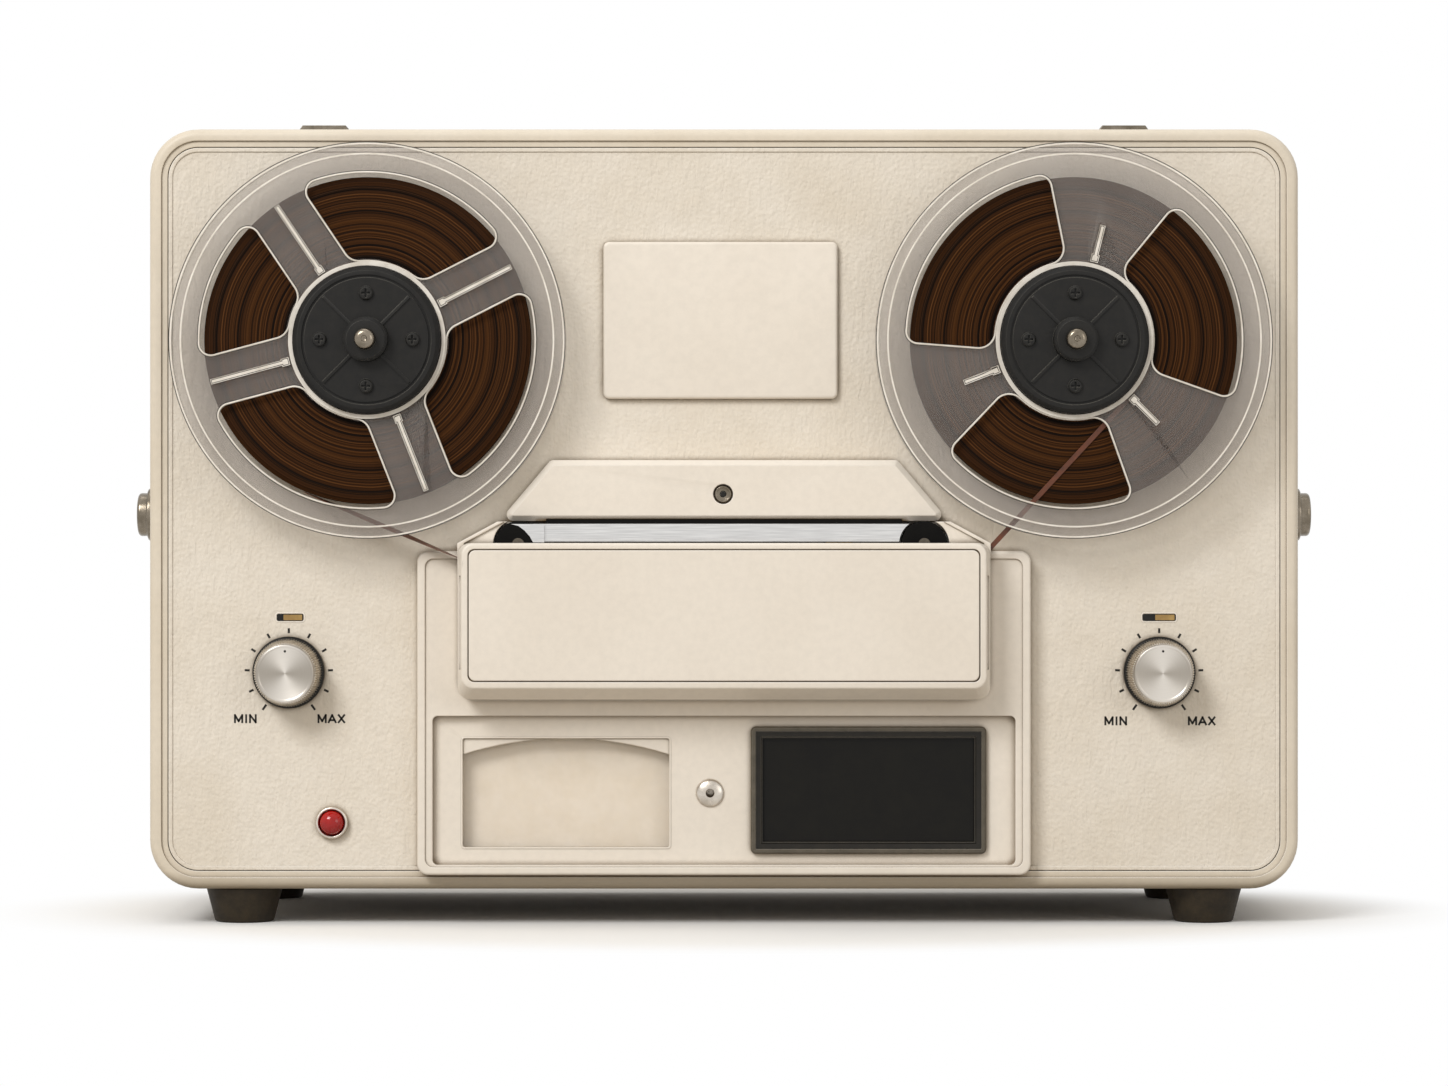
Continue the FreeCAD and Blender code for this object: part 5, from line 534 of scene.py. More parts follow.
def plain(name, colour, shade, roughness, grain=2.0, depth=0.03, edges=None, **sockets):
    """A finish with two close tones, a fine skin and uneven gloss; given an edge colour, painted highlights
    and shade on its edges.
    """
    if name in bpy.data.materials:
        return bpy.data.materials[name]
    material, tree, shader = surface(name, **sockets)
    place = put(tree, "TexCoord").outputs["Object"]
    cloud = put(tree, "TexNoise", {"Vector": place, "Scale": 1000 / (grain * 6), "Detail": 5.0,
                                   "Roughness": 0.65})
    fine = put(tree, "TexNoise", {"Vector": place, "Scale": 1000 / grain, "Detail": 3.0, "Roughness": 0.6})
    tone = stops(put(tree, "ValToRGB", {"Fac": cloud.outputs["Fac"]}),
                 (0.35, linear(colour)), (0.68, linear(shade)))
    toned = tone.outputs["Color"]
    # Painted light on the edges: highlights towards the upper left, shade away from it.
    if edges:
        toned = lit_edges(tree, toned, 1.4, edges, "050403", 0.5)
    feed(tree, shader, Base_Color=toned)
    rough = put(tree, "MapRange", {"Value": fine.outputs["Fac"], 1: 0.3, 2: 0.7,
                                   3: max(roughness - 0.06, 0.03), 4: roughness + 0.08})
    feed(tree, shader, Roughness=rough.outputs[0])
    bump = put(tree, "Bump", {"Height": fine.outputs["Fac"], "Strength": 0.5, "Distance": depth * MM})
    feed(tree, shader, Normal=bump.outputs[0])
    return material


def black_abs():
    """Black moulded ABS: a warm near-black with a satin skin, and painted highlights and shade on its
    edges.
    """
    return plain("black_moulded_abs", "131210", "1C1A17", 0.42, 0.8, 0.02, "6A6760",
                 Specular_IOR_Level=0.24)


def chrome():
    """Chromium plate on steel: bright, a little uneven from polishing."""
    return plain("polished_chromium_plate", "D8D4CC", "C4BFB5", 0.12, 1.2, 0.005, Metallic=1.0)


def nickel():
    """Satin nickel plate: a warm grey metal with a soft reflection."""
    return plain("satin_nickel_plate", "8C8274", "6C6355", 0.24, 1.0, 0.01, Metallic=1.0)


def satin_silver():
    """Silver plate with a satin polish: paler and softer than chromium."""
    return plain("satin_silver_plate", "D6CEC3", "B9B0A4", 0.3, 1.0, 0.008, Metallic=1.0)


def steel():
    """Zinc plated steel sheet: grey with faint clouds."""
    return plain("zinc_plated_steel", "9C9C98", "7E7E7A", 0.38, 2.0, 0.01, Metallic=1.0)


def brass():
    """Turned brass, dulled."""
    return plain("turned_brass", "B8964E", "9A7A3A", 0.32, 1.0, 0.01, Metallic=1.0)


def rubber():
    """Moulded black rubber, bloomed brown-grey."""
    return plain("moulded_rubber", "241D12", "332A1C", 0.62, 0.9, 0.04, Specular_IOR_Level=0.3)


def dark_steel():
    """Dark lacquered steel with worn, lighter patches."""
    return plain("dark_lacquered_steel", "4A443B", "6B6358", 0.34, 1.2, 0.015, Metallic=0.7)


def spun_aluminium(side, x, z):
    """Aluminium cap, spun and lacquered: tool marks 0.22 mm apart that spread the light, and a painted
    highlight in a wedge, paler above and below the centre.
    """
    material, tree, shader = surface("spun_aluminium_" + side, Metallic=1.0, Anisotropic=0.5,
                                     Roughness=0.34)
    _, flat, radius = polar(tree, x, z)
    outward = put(tree, "VectorMath", {0: flat}, operation="NORMALIZE")
    marks = put(tree, "TexNoise", {"W": radius, "Scale": 1000 / 0.22, "Detail": 2.0}, noise_dimensions="1D")
    # Painted highlight: the colour is paler towards the top and bottom of the cap and darker at its sides.
    height = put(tree, "SeparateXYZ", {"Vector": outward.outputs[0]})
    wedge = put(tree, "Math", {0: height.outputs["Z"], 1: 2.0}, operation="POWER")
    sheen = put(tree, "Mix", {0: wedge.outputs[0], 6: linear("A8A095"), 7: linear("DAD3C9")},
                data_type="RGBA")
    turned = stops(put(tree, "ValToRGB", {"Fac": marks.outputs["Fac"]}), (0.3, 0.92), (0.7, 1.0))
    tone = put(tree, "Mix", {0: 1.0, 6: sheen.outputs[2], 7: turned.outputs["Color"]},
               data_type="RGBA", blend_type="MULTIPLY")
    feed(tree, shader, Base_Color=tone.outputs[2], Tangent=outward.outputs[0])
    bump = put(tree, "Bump", {"Height": marks.outputs["Fac"], "Strength": 0.3, "Distance": 0.02 * MM})
    feed(tree, shader, Normal=bump.outputs[0])
    return material


def sheet_metal():
    """Bright anodised aluminium sheet, brushed along its length. The lines are 0.5 mm apart, to show."""
    name = "bright_anodised_sheet"
    if name in bpy.data.materials:
        return bpy.data.materials[name]
    material, tree, shader = surface(name, Metallic=0.9, Roughness=0.28)
    place = put(tree, "TexCoord").outputs["Object"]
    drawn = put(tree, "Mapping", {"Vector": place, "Scale": (0.03, 1.0, 1.0)})
    lines = put(tree, "TexNoise", {"Vector": drawn.outputs[0], "Scale": 1000 / 0.5, "Detail": 3.0})
    tone = stops(put(tree, "ValToRGB", {"Fac": lines.outputs["Fac"]}),
                 (0.3, linear("C2C1C0")), (0.7, linear("DEDDDB")))
    feed(tree, shader, Base_Color=tone.outputs["Color"])
    return material


def ribbon_tape():
    """Recording tape in the run: red-brown oxide with a soft shine."""
    return plain("oxide_tape_ribbon", tints().tape, tints().tape_shade, 0.38, 1.0, 0.01)


def roller_black():
    """Matt black acetal of the guide rollers, also used for the black strip of painted shadow in the gap
    over the shield.
    """
    return plain("matt_black_acetal", "090807", "0E0D0B", 0.55, 1.0, 0.01, Specular_IOR_Level=0.08)


def printing_ink():
    """Black screen-printed ink: matt and a little thin in places."""
    return plain("black_screen_ink", tints().ink, "26231E", 0.6, 0.5, 0.01, Specular_IOR_Level=0.3)


def knurled_aluminium():
    """Aluminium skirt, knurled and lacquered."""
    return plain("knurled_lacquered_aluminium", "D6CEC2", "B5ADA0", 0.32, 0.6, 0.01, Metallic=1.0)


def red_dome():
    """Red moulded acrylic lens: deep and glossy, with a brighter red in random patches, painted as light
    gathered inside.
    """
    return plain("red_moulded_acrylic", tints().lamp, tints().lamp_painted_light, 0.08, 1.5, 0.005, IOR=1.49,
                 Specular_IOR_Level=0.45)


def amber():
    """Amber acrylic window, streaked."""
    return plain("amber_acrylic", tints().amber, "8C6C38", 0.2, 1.0, 0.01, IOR=1.49)


def smoked():
    """Smoked acrylic over an unlit dial: nearly black, with a faint bloom."""
    return plain("smoked_acrylic", "0C0A07", "12100B", 0.34, 2.0, 0.005, IOR=1.49, Specular_IOR_Level=0.18)


def window_frame():
    """Painted metal frame, dark grey-brown with a satin gloss, and painted highlights and shade on its
    edges.
    """
    return plain("dark_grey_painted_frame", "4F493E", "5E574B", 0.3, 1.0, 0.015, "9A948A",
                 Specular_IOR_Level=0.3)


def frame_recess():
    """The painted frame's inner step, blacker than its face, with painted highlights and shade on its
    edges.
    """
    return plain("black_painted_frame_step", "1B1813", "242019", 0.35, 1.0, 0.015, "7A746A",
                 Specular_IOR_Level=0.25)


def card():
    """Blank printed card of the dial, cream and matt."""
    return plain("blank_dial_card", "F2E7D8", "EADDCA", 0.8, 2.5, 0.01)


def clear_pane():
    """Thin clear acrylic pane."""
    name = "clear_acrylic_pane"
    if name in bpy.data.materials:
        return bpy.data.materials[name]
    material, tree, shader = surface(name, IOR=1.49, Roughness=0.08, Base_Color=linear("E8E2D6"))
    place = put(tree, "TexCoord").outputs["Object"]
    dust = put(tree, "TexNoise", {"Vector": place, "Scale": 1000 / 20, "Detail": 6.0, "Roughness": 0.7})
    veil = put(tree, "MapRange", {"Value": dust.outputs["Fac"], 1: 0.3, 2: 0.75, 3: 0.05, 4: 0.12})
    feed(tree, shader, Alpha=veil.outputs[0])
    return material


def circuit():
    """Glass-fibre circuit board under green resist."""
    return plain("green_solder_resist", "2B4A2C", "3A5E38", 0.35, 1.5, 0.02)


def iron():
    """Varnished transformer laminations."""
    return plain("varnished_laminations", "2C2620", "40382E", 0.4, 0.8, 0.03)


def paper_floor():
    """Pale paper, matt: white where it runs off, and darker felt to the light that it gives back."""
    material, tree, shader = surface("pale_paper_floor", Roughness=0.9, Specular_IOR_Level=0.1)
    place = put(tree, "TexCoord").outputs["Object"]
    pulp = put(tree, "TexNoise", {"Vector": place, "Scale": 1000 / 4, "Detail": 2.0})
    paper = put(tree, "Mix", {0: pulp.outputs["Fac"], 6: linear(tints().floor), 7: linear("FAF9F7")},
                data_type="RGBA")
    oval = put(tree, "Mapping", {"Vector": place, "Scale": (1.0, 1.5, 1.0)})
    away = put(tree, "VectorMath", {0: oval.outputs[0]}, operation="LENGTH")
    sweep = put(tree, "MapRange", {"Value": away.outputs["Value"], 1: 0.25, 2: 0.36, 3: 0.0, 4: 1.0},
                interpolation_type="SMOOTHSTEP")
    seen = seen_itself(tree)
    share = put(tree, "Math", {0: seen, 1: sweep.outputs[0]}, operation="MULTIPLY")
    felt = put(tree, "Mix", {0: seen, 6: linear("B4ACA0"), 7: paper.outputs[2]}, data_type="RGBA")
    feed(tree, shader, Base_Color=felt.outputs[2])
    backdrop = put(tree, "Emission", {"Color": WHITE, "Strength": 1.0})
    blend = put(tree, "MixShader", {0: share.outputs[0], 1: shader.outputs[0], 2: backdrop.outputs[0]})
    tree.links.new(blend.outputs[0], tree.nodes["Material Output"].inputs["Surface"])
    return material


# --- Sizes and colours a user may change ---

def length(name, description, size, low, high):
    """A property that holds a length."""
    return bpy.props.FloatProperty(name=name, description=description, default=size, min=low, max=high,
                                   precision=4, unit="LENGTH", subtype="DISTANCE")


def tint(name, description, code):
    """A property that holds a colour."""
    return bpy.props.FloatVectorProperty(name=name, description=description, default=linear(code), size=4,
                                         min=0.0, max=1.0, subtype="COLOR")


class TapeEchoSizes(bpy.types.PropertyGroup):
    """Soft edges, printed and turned sizes, and the camera's distance."""
    case_edge: length("Case edge", "Radius on the deck's moulded edges", 0.0009, 0.0001, 0.003)
    cover_edge: length("Cover edge", "Radius on the covers' moulded edges", 0.0006, 0.0001, 0.002)
    knob_radius: length("Knob radius", "Radius of the knobs' knurled skirts", 0.0155, 0.0138, 0.016)
    tick_width: length("Tick width", "Width of the ticks round the knobs", 0.00095, 0.0003, 0.002)
    tick_length: length("Tick length", "Length of the ticks round the knobs", 0.0022, 0.001, 0.005)
    letter_height: length("Letter height", "Height of the printed words", 0.0033, 0.002, 0.006)
    letter_stroke: length("Letter stroke", "Width of the printed words' strokes", 0.00085, 0.0003, 0.0015)
    lamp_radius: length("Lamp radius", "Radius of the lamp's dome", 0.00545, 0.004, 0.0056)
    camera_distance: length("Camera distance", "From the case's centre to the camera", 2.18, 0.8, 6.0)


class TapeEchoColours(bpy.types.PropertyGroup):
    """Colours of the finishes and of the floor."""
    case: tint("Case", "The wrap's plastic", "DED3C1")
    case_aged: tint("Case, aged", "The wrap's yellowed patches", "D3C6B1")
    deck: tint("Deck", "The deck's plastic", "E6DDCF")
    deck_aged: tint("Deck, aged", "The deck's yellowed patches", "D9CDBA")
    cover: tint("Covers", "The covers' plastic", "EBE2D5")
    cover_aged: tint("Covers, aged", "The covers' yellowed patches", "E4DACC")
    reel: tint("Reels", "The veil over the clear reels", "B4ADA8")
    tape: tint("Tape", "The tape's free spans", "6A3415")
    tape_shade: tint("Tape, shaded", "The darker streaks of the tape's free spans", "45210C")
    ink: tint("Print", "The ticks and words", "14120F")
    lamp: tint("Lamp", "The lamp's dome", "930602")
    # Painted light: the lamp dome's brighter red stands for light gathered inside it.
    lamp_painted_light: tint("Lamp, bright", "The dome's brighter parts", "B01008")
    amber: tint("Slot windows", "The amber windows over the knobs", "AC8C50")
    floor: tint("Floor", "The studio floor", "F7F6F4")


def sizes():
    """The sizes in the sidebar."""
    return bpy.context.scene.tapeecho_sizes


def tints():
    """The colours in the sidebar."""
    return bpy.context.scene.tapeecho_colours


# --- Operators ---

class TAPEECHO_OT_stage(bpy.types.Operator):
    """Builds the floor, the backdrop light, the lamps and the camera"""
    bl_idname = "tapeecho.stage"
    bl_label = "Stage"

    def execute(self, context):
        scene = context.scene
        bm = bmesh.new()
        bmesh.ops.create_grid(bm, x_segments=1, y_segments=1, size=FLOOR_HALF_WIDTH)
        mesh = bpy.data.meshes.new("studio_floor")
        bm.to_mesh(mesh)
        bm.free()
        floor = bpy.data.objects.new("studio_floor", mesh)
        scene.collection.objects.link(floor)
        mesh.materials.append(paper_floor())

        world = bpy.data.worlds.new("studio_light")
        scene.world = world
        world.use_nodes = True
        tree = world.node_tree
        seen = seen_itself(tree)
        strength = put(tree, "MapRange", {"Value": seen, 3: 0.55, 4: 1.0})
        warmth = put(tree, "Mix", {0: seen, 6: linear("FFFCF7"), 7: WHITE}, data_type="RGBA")
        background = tree.nodes["Background"]
        feed(tree, background, Color=warmth.outputs[2], Strength=strength.outputs[0])

        for name, spot, size, power in LAMPS:
            lamp = bpy.data.lights.new(name, "AREA")
            lamp.size = size
            lamp.energy = power
            holder = bpy.data.objects.new(name, lamp)
            holder.location = spot
            holder.rotation_euler = (Vector(AIM) - Vector(spot)).to_track_quat("-Z", "Y").to_euler()
            scene.collection.objects.link(holder)

        lens = bpy.data.cameras.new("camera")
        lens.lens = FOCAL_LENGTH
        lens.sensor_width = SENSOR_WIDTH
        camera = bpy.data.objects.new("camera", lens)
        camera.location = (0.0, -sizes().camera_distance, CAMERA_HEIGHT)
        camera.rotation_euler = (pi / 2, 0.0, 0.0)
        scene.collection.objects.link(camera)
        scene.camera = camera
        scene.view_settings.view_transform = "Standard"
        return {"FINISHED"}


class TAPEECHO_OT_case(bpy.types.Operator):
    """Dresses the case, the deck, the rear cover and the feet"""
    bl_idname = "tapeecho.case"
    bl_label = "Case and deck"

    def execute(self, context):
        softened("cabinet_wrap", case_cream(), 0.45)
        softened("deck_panel", deck_cream(), sizes().case_edge / MM)
        softened("feet", rubber(), 0.8)
        softened("rear_cover", case_cream(), 0.5)
        dress(steel(), "chassis_plate")
        dress(dark_steel(), "deck_pins")
        return {"FINISHED"}


class TAPEECHO_OT_covers(bpy.types.Operator):
    """Dresses the blank pad, the bridge cover, the head covers and the lower panel"""
    bl_idname = "tapeecho.covers"
    bl_label = "Covers and panel"

    def execute(self, context):
        edge = sizes().cover_edge / MM
        for node in ("nameplate_pad", "bridge_cover", "head_housing", "lower_control_panel"):
            softened(node, cover_cream(), edge, segments=3)
        softened("head_cover", cover_cream(), edge, "cover", 3)
        softened("head_cover_inset", cover_cream(), 0.35, "cover", 3)
        x, z = SCREW_PLACE
        others = carried("screws")
        lone = [vert for vert in others.verts if vert.co.y < FRONT + 40
                and Vector((vert.co.x - x, vert.co.z - z)).length < SCREW_CLEARING]
        bmesh.ops.delete(others, geom=lone, context="VERTS")
        piece("screws_but_bridge", others, chrome(), "root", ("screws",))
        screw = spun(SCREW_PROFILE, 64, soft=0.06)
        piece("bridge_screw", screw, nickel(), "root", place=front(x, z))
        socket = bmesh.new()
        bmesh.ops.create_cone(socket, cap_ends=True, segments=6, radius1=1.5, radius2=1.4, depth=0.2)
        piece("bridge_screw_socket", socket, black_abs(), "root",
              place=front(x, z, SOCKET_HEIGHT))
        return {"FINISHED"}


def lipped_flange(side, x, z):
    """The front flange with rolled lips round its windows, grooved ribs and beads; painted highlights on
    lips, ribs and beads, painted shade at the lips' feet, in the ribs' grooves and round the rim.
    """
    bm = carried(side + "_reel_front", (x, z))
    face_y = FRONT - FLANGE_FACE
    bead_y = FRONT - BEAD_FACE

    def reach(vert):
        return Vector((vert.co.x - x, vert.co.z - z)).length

    def out(face):
        return sum(reach(vert) for vert in face.verts) / len(face.verts)

    def level(depth):
        return [face for face in bm.faces if face.normal.y < -0.99
                and abs(face.calc_center_median().y - depth) < 0.02]

    def drawn_in(faces, width, rise):
        return bmesh.ops.inset_region(bm, faces=faces, thickness=width, depth=rise, use_even_offset=False,
                                      use_boundary=True)["faces"]

    field = level(face_y)
    inside = set(field)
    rolled = []
    for face in drawn_in(field, LIP_WIDTH, 0.0):
        walls = [other for edge in face.edges for other in edge.link_faces
                 if other not in inside and abs(other.normal.y) < 0.5]
        if any(wall.calc_center_median().y > face_y + 0.1 for wall in walls) and out(face) > HUB_RADIUS + 1:
            rolled.append(face)
    slopes = drawn_in(rolled, LIP_SLOPE, LIP_FALL)
    lines = [face for face in drawn_in(field, LINE_WIDTH, 0.0)
             if any(other in slopes for edge in face.edges for other in edge.link_faces)]
    ribs = [face for face in level(bead_y) if HUB_RADIUS + 3 < out(face) < PACK_RADIUS]
    beads = [face for face in level(bead_y) if out(face) > PACK_RADIUS]
    ridges = drawn_in(ribs, GROOVE_EDGE, -GROOVE_DEPTH)
    channels = drawn_in(ribs, LINE_WIDTH, GROOVE_DEPTH)
    outlines = [face for face in drawn_in(beads, GROOVE_EDGE, 0.0) if out(face) > REEL_RADIUS - 0.6]
    bright = set(rolled) | set(slopes) | set(ridges) | set(ribs) | set(beads)
    bright |= {face for face in bm.faces if face.normal.y < -0.99
               and HUB_RADIUS < out(face) < HUB_RADIUS + 2 and face.calc_center_median().y < bead_y}
    rim = {face for face in bm.faces if abs(face.normal.y) < 0.5
           and min(reach(vert) for vert in face.verts) > REEL_RADIUS - 0.3}
    # Painted light: index 1 is a painted highlight on lips, ribs, beads and the hub ring; index 2 is
    # painted shade at the lips' feet, in the ribs' grooves, on the outer bead's edge and on the rim.
    for face in bright:
        face.material_index = 1
    for face in set(lines) | set(channels) | set(outlines) | rim:
        face.material_index = 2
    thing = piece(side + "_reel_front_lipped", bm, clear_styrene(), side + "_reel",
                  (side + "_reel_front",))
    thing.data.materials.append(styrene_lip_highlight())
    thing.data.materials.append(styrene_shade())
    rounded(thing, 0.22, 2, 40)


def dished_spindle(side, body):
    """A spindle whose tip has a bright lip round a shallow dish."""
    bm = carried(side + "_spindle")
    tip = min(bm.faces, key=lambda face: face.calc_center_median().y)
    for width, rise in SPINDLE_STEPS:
        bmesh.ops.inset_region(bm, faces=[tip], thickness=width, depth=rise, use_even_offset=True)
    rounded(piece(side + "_spindle_dished", bm, nickel(), body, (side + "_spindle",)), 0.2)


class TAPEECHO_OT_reels(bpy.types.Operator):
    """Builds the two clear reels, their tape packs, hub clamps and spindles"""
    bl_idname = "tapeecho.reels"
    bl_label = "Reels"

    def execute(self, context):
        for side in ("left", "right"):
            body = side + "_reel"
            x, z = centre(side + "_spindle")
            lipped_flange(side, x, z)
            back = carried(side + "_reel_back", (x, z))
            rounded(piece(side + "_reel_back_rounded", back, clear_styrene(), body,
                          (side + "_reel_back",)), 0.3)
            softened(side + "_hub_cap", black_abs(), 0.35, body, segments=3)
            oxide = wound_tape(side, x, z)
            dress(oxide, side + "_tape_pack")
            loose = spun(TURNS_PROFILE, 192, True)
            piece(side + "_loose_turns", loose, oxide, body, place=front(x, z))
            dished_spindle(side, body)
        return {"FINISHED"}


class TAPEECHO_OT_transport(bpy.types.Operator):
    """Dresses the tape run, the rollers, the shield and the pieces behind the head cover"""
    bl_idname = "tapeecho.transport"
    bl_label = "Tape transport"

    def execute(self, context):
        inner = carried("tape_run")
        for side in (-1, 1):
            bmesh.ops.bisect_plane(inner, geom=everything(inner), dist=0.001, clear_outer=True,
                                   plane_co=(side * PORT_X, 0, 0), plane_no=(side, 0, 0))
        bmesh.ops.holes_fill(inner, edges=inner.edges)
        piece("tape_inside_housing", inner, ribbon_tape(), "root", ("tape_run",))
        depth = Vector((0, FRONT - TAPE_MIDDLE, 0))
        x, z = centre("left_spindle")
        leave = tangent(x, z, PACK_RADIUS + 2.2, -PORT_X, LEFT_PORT_Z, -1) + depth
        port = Vector((-PORT_X, 0, LEFT_PORT_Z)) + depth
        piece("left_tape_strand", twisted_ribbon(leave, port, *LEFT_STRAND), ribbon_tape(), "root")
        x, z = centre("right_spindle")
        depth = Vector((0, FRONT - STRAND_MIDDLE, 0))
        reach = tangent(x, z, HUB_RADIUS + 1.2, PORT_X, RIGHT_PORT_Z, 1) + depth
        port = Vector((PORT_X, 0, RIGHT_PORT_Z)) + depth
        piece("right_tape_strand", twisted_ribbon(port, reach, *RIGHT_STRAND), ribbon_tape(), "root")
        softened("tape_shield", sheet_metal(), 0.35, segments=3)
        for side in ("left", "right"):
            x, z = centre(side + "_guide_roller")
            roller = carried(side + "_guide_roller")
            bmesh.ops.scale(roller, vec=(ROLLER_SHARE, 1.0, ROLLER_SHARE), verts=roller.verts,
                            space=Matrix.Translation((-x, 0, -z)))
            rounded(piece(side + "_guide_roller_soft", roller, roller_black(), side + "_roller",
                          (side + "_guide_roller",)), 0.3)
        # Painted shadow: a black strip in the gap over the shield, where the bridge cover casts its shade.
        shadow_strip = stepped(*SHADOW_STRIP_SIZE, ((0.0, SHADOW_STRIP_RISE),))
        piece("shield_gap_shadow_strip", shadow_strip, roller_black(), "root", place=front(*SHADOW_STRIP_PLACE))
        end = bmesh.new()
        rim = [end.verts.new((x, z, 0.0)) for x, z in SHIELD_END]
        grown = bmesh.ops.extrude_face_region(end, geom=[end.faces.new(rim)], use_keep_orig=True)["geom"]
        bmesh.ops.translate(end, vec=(0, 0, SHIELD_END_SHEET),
                            verts=[item for item in grown if isinstance(item, bmesh.types.BMVert)])
        bmesh.ops.recalc_face_normals(end, faces=end.faces)
        piece("shield_end", end, sheet_metal(), "root",
              place=front(0, 0, SHIELD_END_HEIGHT))
        dress(steel(), "head_plate", "pinch_arm", "flywheel", "reel_motors", "drive_motor")
        dress(chrome(), "tape_heads", "capstan_shaft")
        dress(brass(), "capstan_bearing", "motor_pulley")
        dress(rubber(), "pinch_roller", "drive_belt")
        return {"FINISHED"}


def turned_knob(side):
    """A knob: a knurled skirt and a spun cap with a bright rim and a small index dot."""
    x, z = centre(side + "_knob")
    body = side + "_knob"
    skirt = bmesh.new()
    foot = bmesh.ops.create_circle(skirt, cap_ends=True, segments=SKIRT_CORNERS,
                                   radius=sizes().knob_radius / MM)["verts"]
    bmesh.ops.translate(skirt, vec=(0, 0, SKIRT_FOOT), verts=foot)
    for vert in foot[::2]:
        bmesh.ops.scale(skirt, vec=(TOOTH_SHARE, TOOTH_SHARE, 1.0), verts=[vert])
    for scale, rise in SKIRT_STEPS:
        top = max(skirt.faces, key=lambda face: face.calc_center_median().z)
        top = bmesh.ops.extrude_discrete_faces(skirt, faces=[top])["faces"][0]
        bmesh.ops.translate(skirt, vec=(0, 0, rise), verts=top.verts)
        bmesh.ops.scale(skirt, vec=(scale, scale, 1.0), verts=top.verts)
    piece(side + "_knob_skirt", skirt, knurled_aluminium(), body, (side + "_knob",),
          place=front(x, z), sharp=10.0)
    cap = spun(CAP_PROFILE, 128, soft=0.12)
    piece(side + "_knob_cap", cap, spun_aluminium(side, x, z), body, place=front(x, z))
    dot = spun(INDEX_PROFILE, 24)
    piece(side + "_knob_index", dot, printing_ink(), body, place=front(x, z + INDEX_RISE))


def printed_scale(side):
    """Eleven printed ticks round a knob, the first and the last a little longer."""
    x, z = centre(side + "_knob")
    bm = bmesh.new()
    for number in range(TICKS):
        degrees = -KNOB_TURN + 2 * KNOB_TURN * number / (TICKS - 1)
        reach = sizes().tick_length / MM + (END_TICK_EXTRA if number in (0, TICKS - 1) else 0.0)
        bar = bmesh.ops.create_grid(bm, x_segments=1, y_segments=1, size=0.5)["verts"]
        bmesh.ops.scale(bm, vec=(sizes().tick_width / MM, reach, 1.0), verts=bar)
        bmesh.ops.translate(bm, vec=(0, TICK_START + reach / 2, 0), verts=bar)
        bmesh.ops.rotate(bm, cent=(0, 0, 0), matrix=Matrix.Rotation(radians(-degrees), 3, "Z"), verts=bar)
    printed(side + "_knob_scale", bm, x, z)


def printed(name, bm, x, z):
    """Gives flat strokes the thickness of screen print and lays them on the deck."""
    bmesh.ops.solidify(bm, geom=bm.faces[:], thickness=PRINT_DEPTH)
    bmesh.ops.recalc_face_normals(bm, faces=bm.faces)
    piece(name, bm, printing_ink(), "root", place=front(x, z, DECK_PROUD))


def printed_word(name, word, left, bottom, gap):
    """A printed word on the deck, drawn with bold straight strokes from its lower left corner."""
    bm = bmesh.new()
    height, stroke = sizes().letter_height / MM, sizes().letter_stroke / MM
    pen = stroke / 2
    for letter in word:
        for start, end in LETTER_STROKES[letter]:
            start, end = (Vector((pen + x * LETTER_WIDTHS[letter], stroke / 2 + y * height, 0.0))
                          for x, y in (start, end))
            along = end - start
            turn = Matrix.Rotation(along.xy.angle_signed(Vector((1, 0))), 3, "Z")
            bar = bmesh.ops.create_grid(bm, x_segments=1, y_segments=1, size=0.5)["verts"]
            bmesh.ops.scale(bm, vec=(along.length + stroke * 0.8, stroke, 1.0), verts=bar)
            bmesh.ops.rotate(bm, cent=(0, 0, 0), matrix=turn, verts=bar)
            bmesh.ops.translate(bm, vec=(start + end) / 2, verts=bar)
        pen += LETTER_WIDTHS[letter] + gap
    printed(name, bm, left, bottom)


def lit_slot(side):
    """A slot in the deck: a cream lip, a black bed painted in as the shade inside the slot, and an amber
    window over part of it.
    """
    x, z, width, dark = SLOTS[side]
    lip = stepped(width + 1.5, SLOT_HEIGHT + 1.5, 1.6, SLOT_LIP_STEPS, True)
    piece(side + "_slot_lip", lip, cover_cream(), "root", place=front(x, z, DECK_PROUD))
    # Painted shade: the black bed shows at the left end of the slot and round the amber window.
    shade_bed = stepped(width, SLOT_HEIGHT, 0.9, ((0.0, 0.04),))
    piece(side + "_slot_shade_bed", shade_bed, black_abs(), "root", place=front(x, z, DECK_PROUD))
    pane = stepped(width * (1 - dark) - 1.3, SLOT_HEIGHT - 0.8, 0.3, ((0.0, 0.08),))
    piece(side + "_slot_window", pane, amber(), "root",
          place=front(x + width * dark / 2, z, DECK_PROUD))


class TAPEECHO_OT_controls(bpy.types.Operator):
    """Builds the knobs, their scales, the slots and the lamp"""
    bl_idname = "tapeecho.controls"
    bl_label = "Knobs, slots and lamp"

    def execute(self, context):
        for side in ("left", "right"):
            turned_knob(side)
            printed_scale(side)
        for word in WORDS:
            printed_word(*word)
        lit_slot("left")
        lit_slot("right")
        softened("knob_rings", black_abs(), 0.3)
        dress(steel(), "potentiometers")
        dress(amber(), "slot_lenses")
        x, z = centre("lamp_bezel")
        ring = spun(BEZEL_PROFILE, 96, True, 0.12)
        piece("lamp_bezel_ring", ring, satin_silver(), "root", ("lamp_bezel",),
              place=front(x, z))
        radius = sizes().lamp_radius / MM
        lens = spun([(0.0, -1.0), (radius, -1.0)] + domed(radius, DOME_FOOT, DOME_RISE, 12), 96)
        piece("lamp_dome", lens, red_dome(), "root", ("lamp_lens",), place=front(x, z))
        return {"FINISHED"}


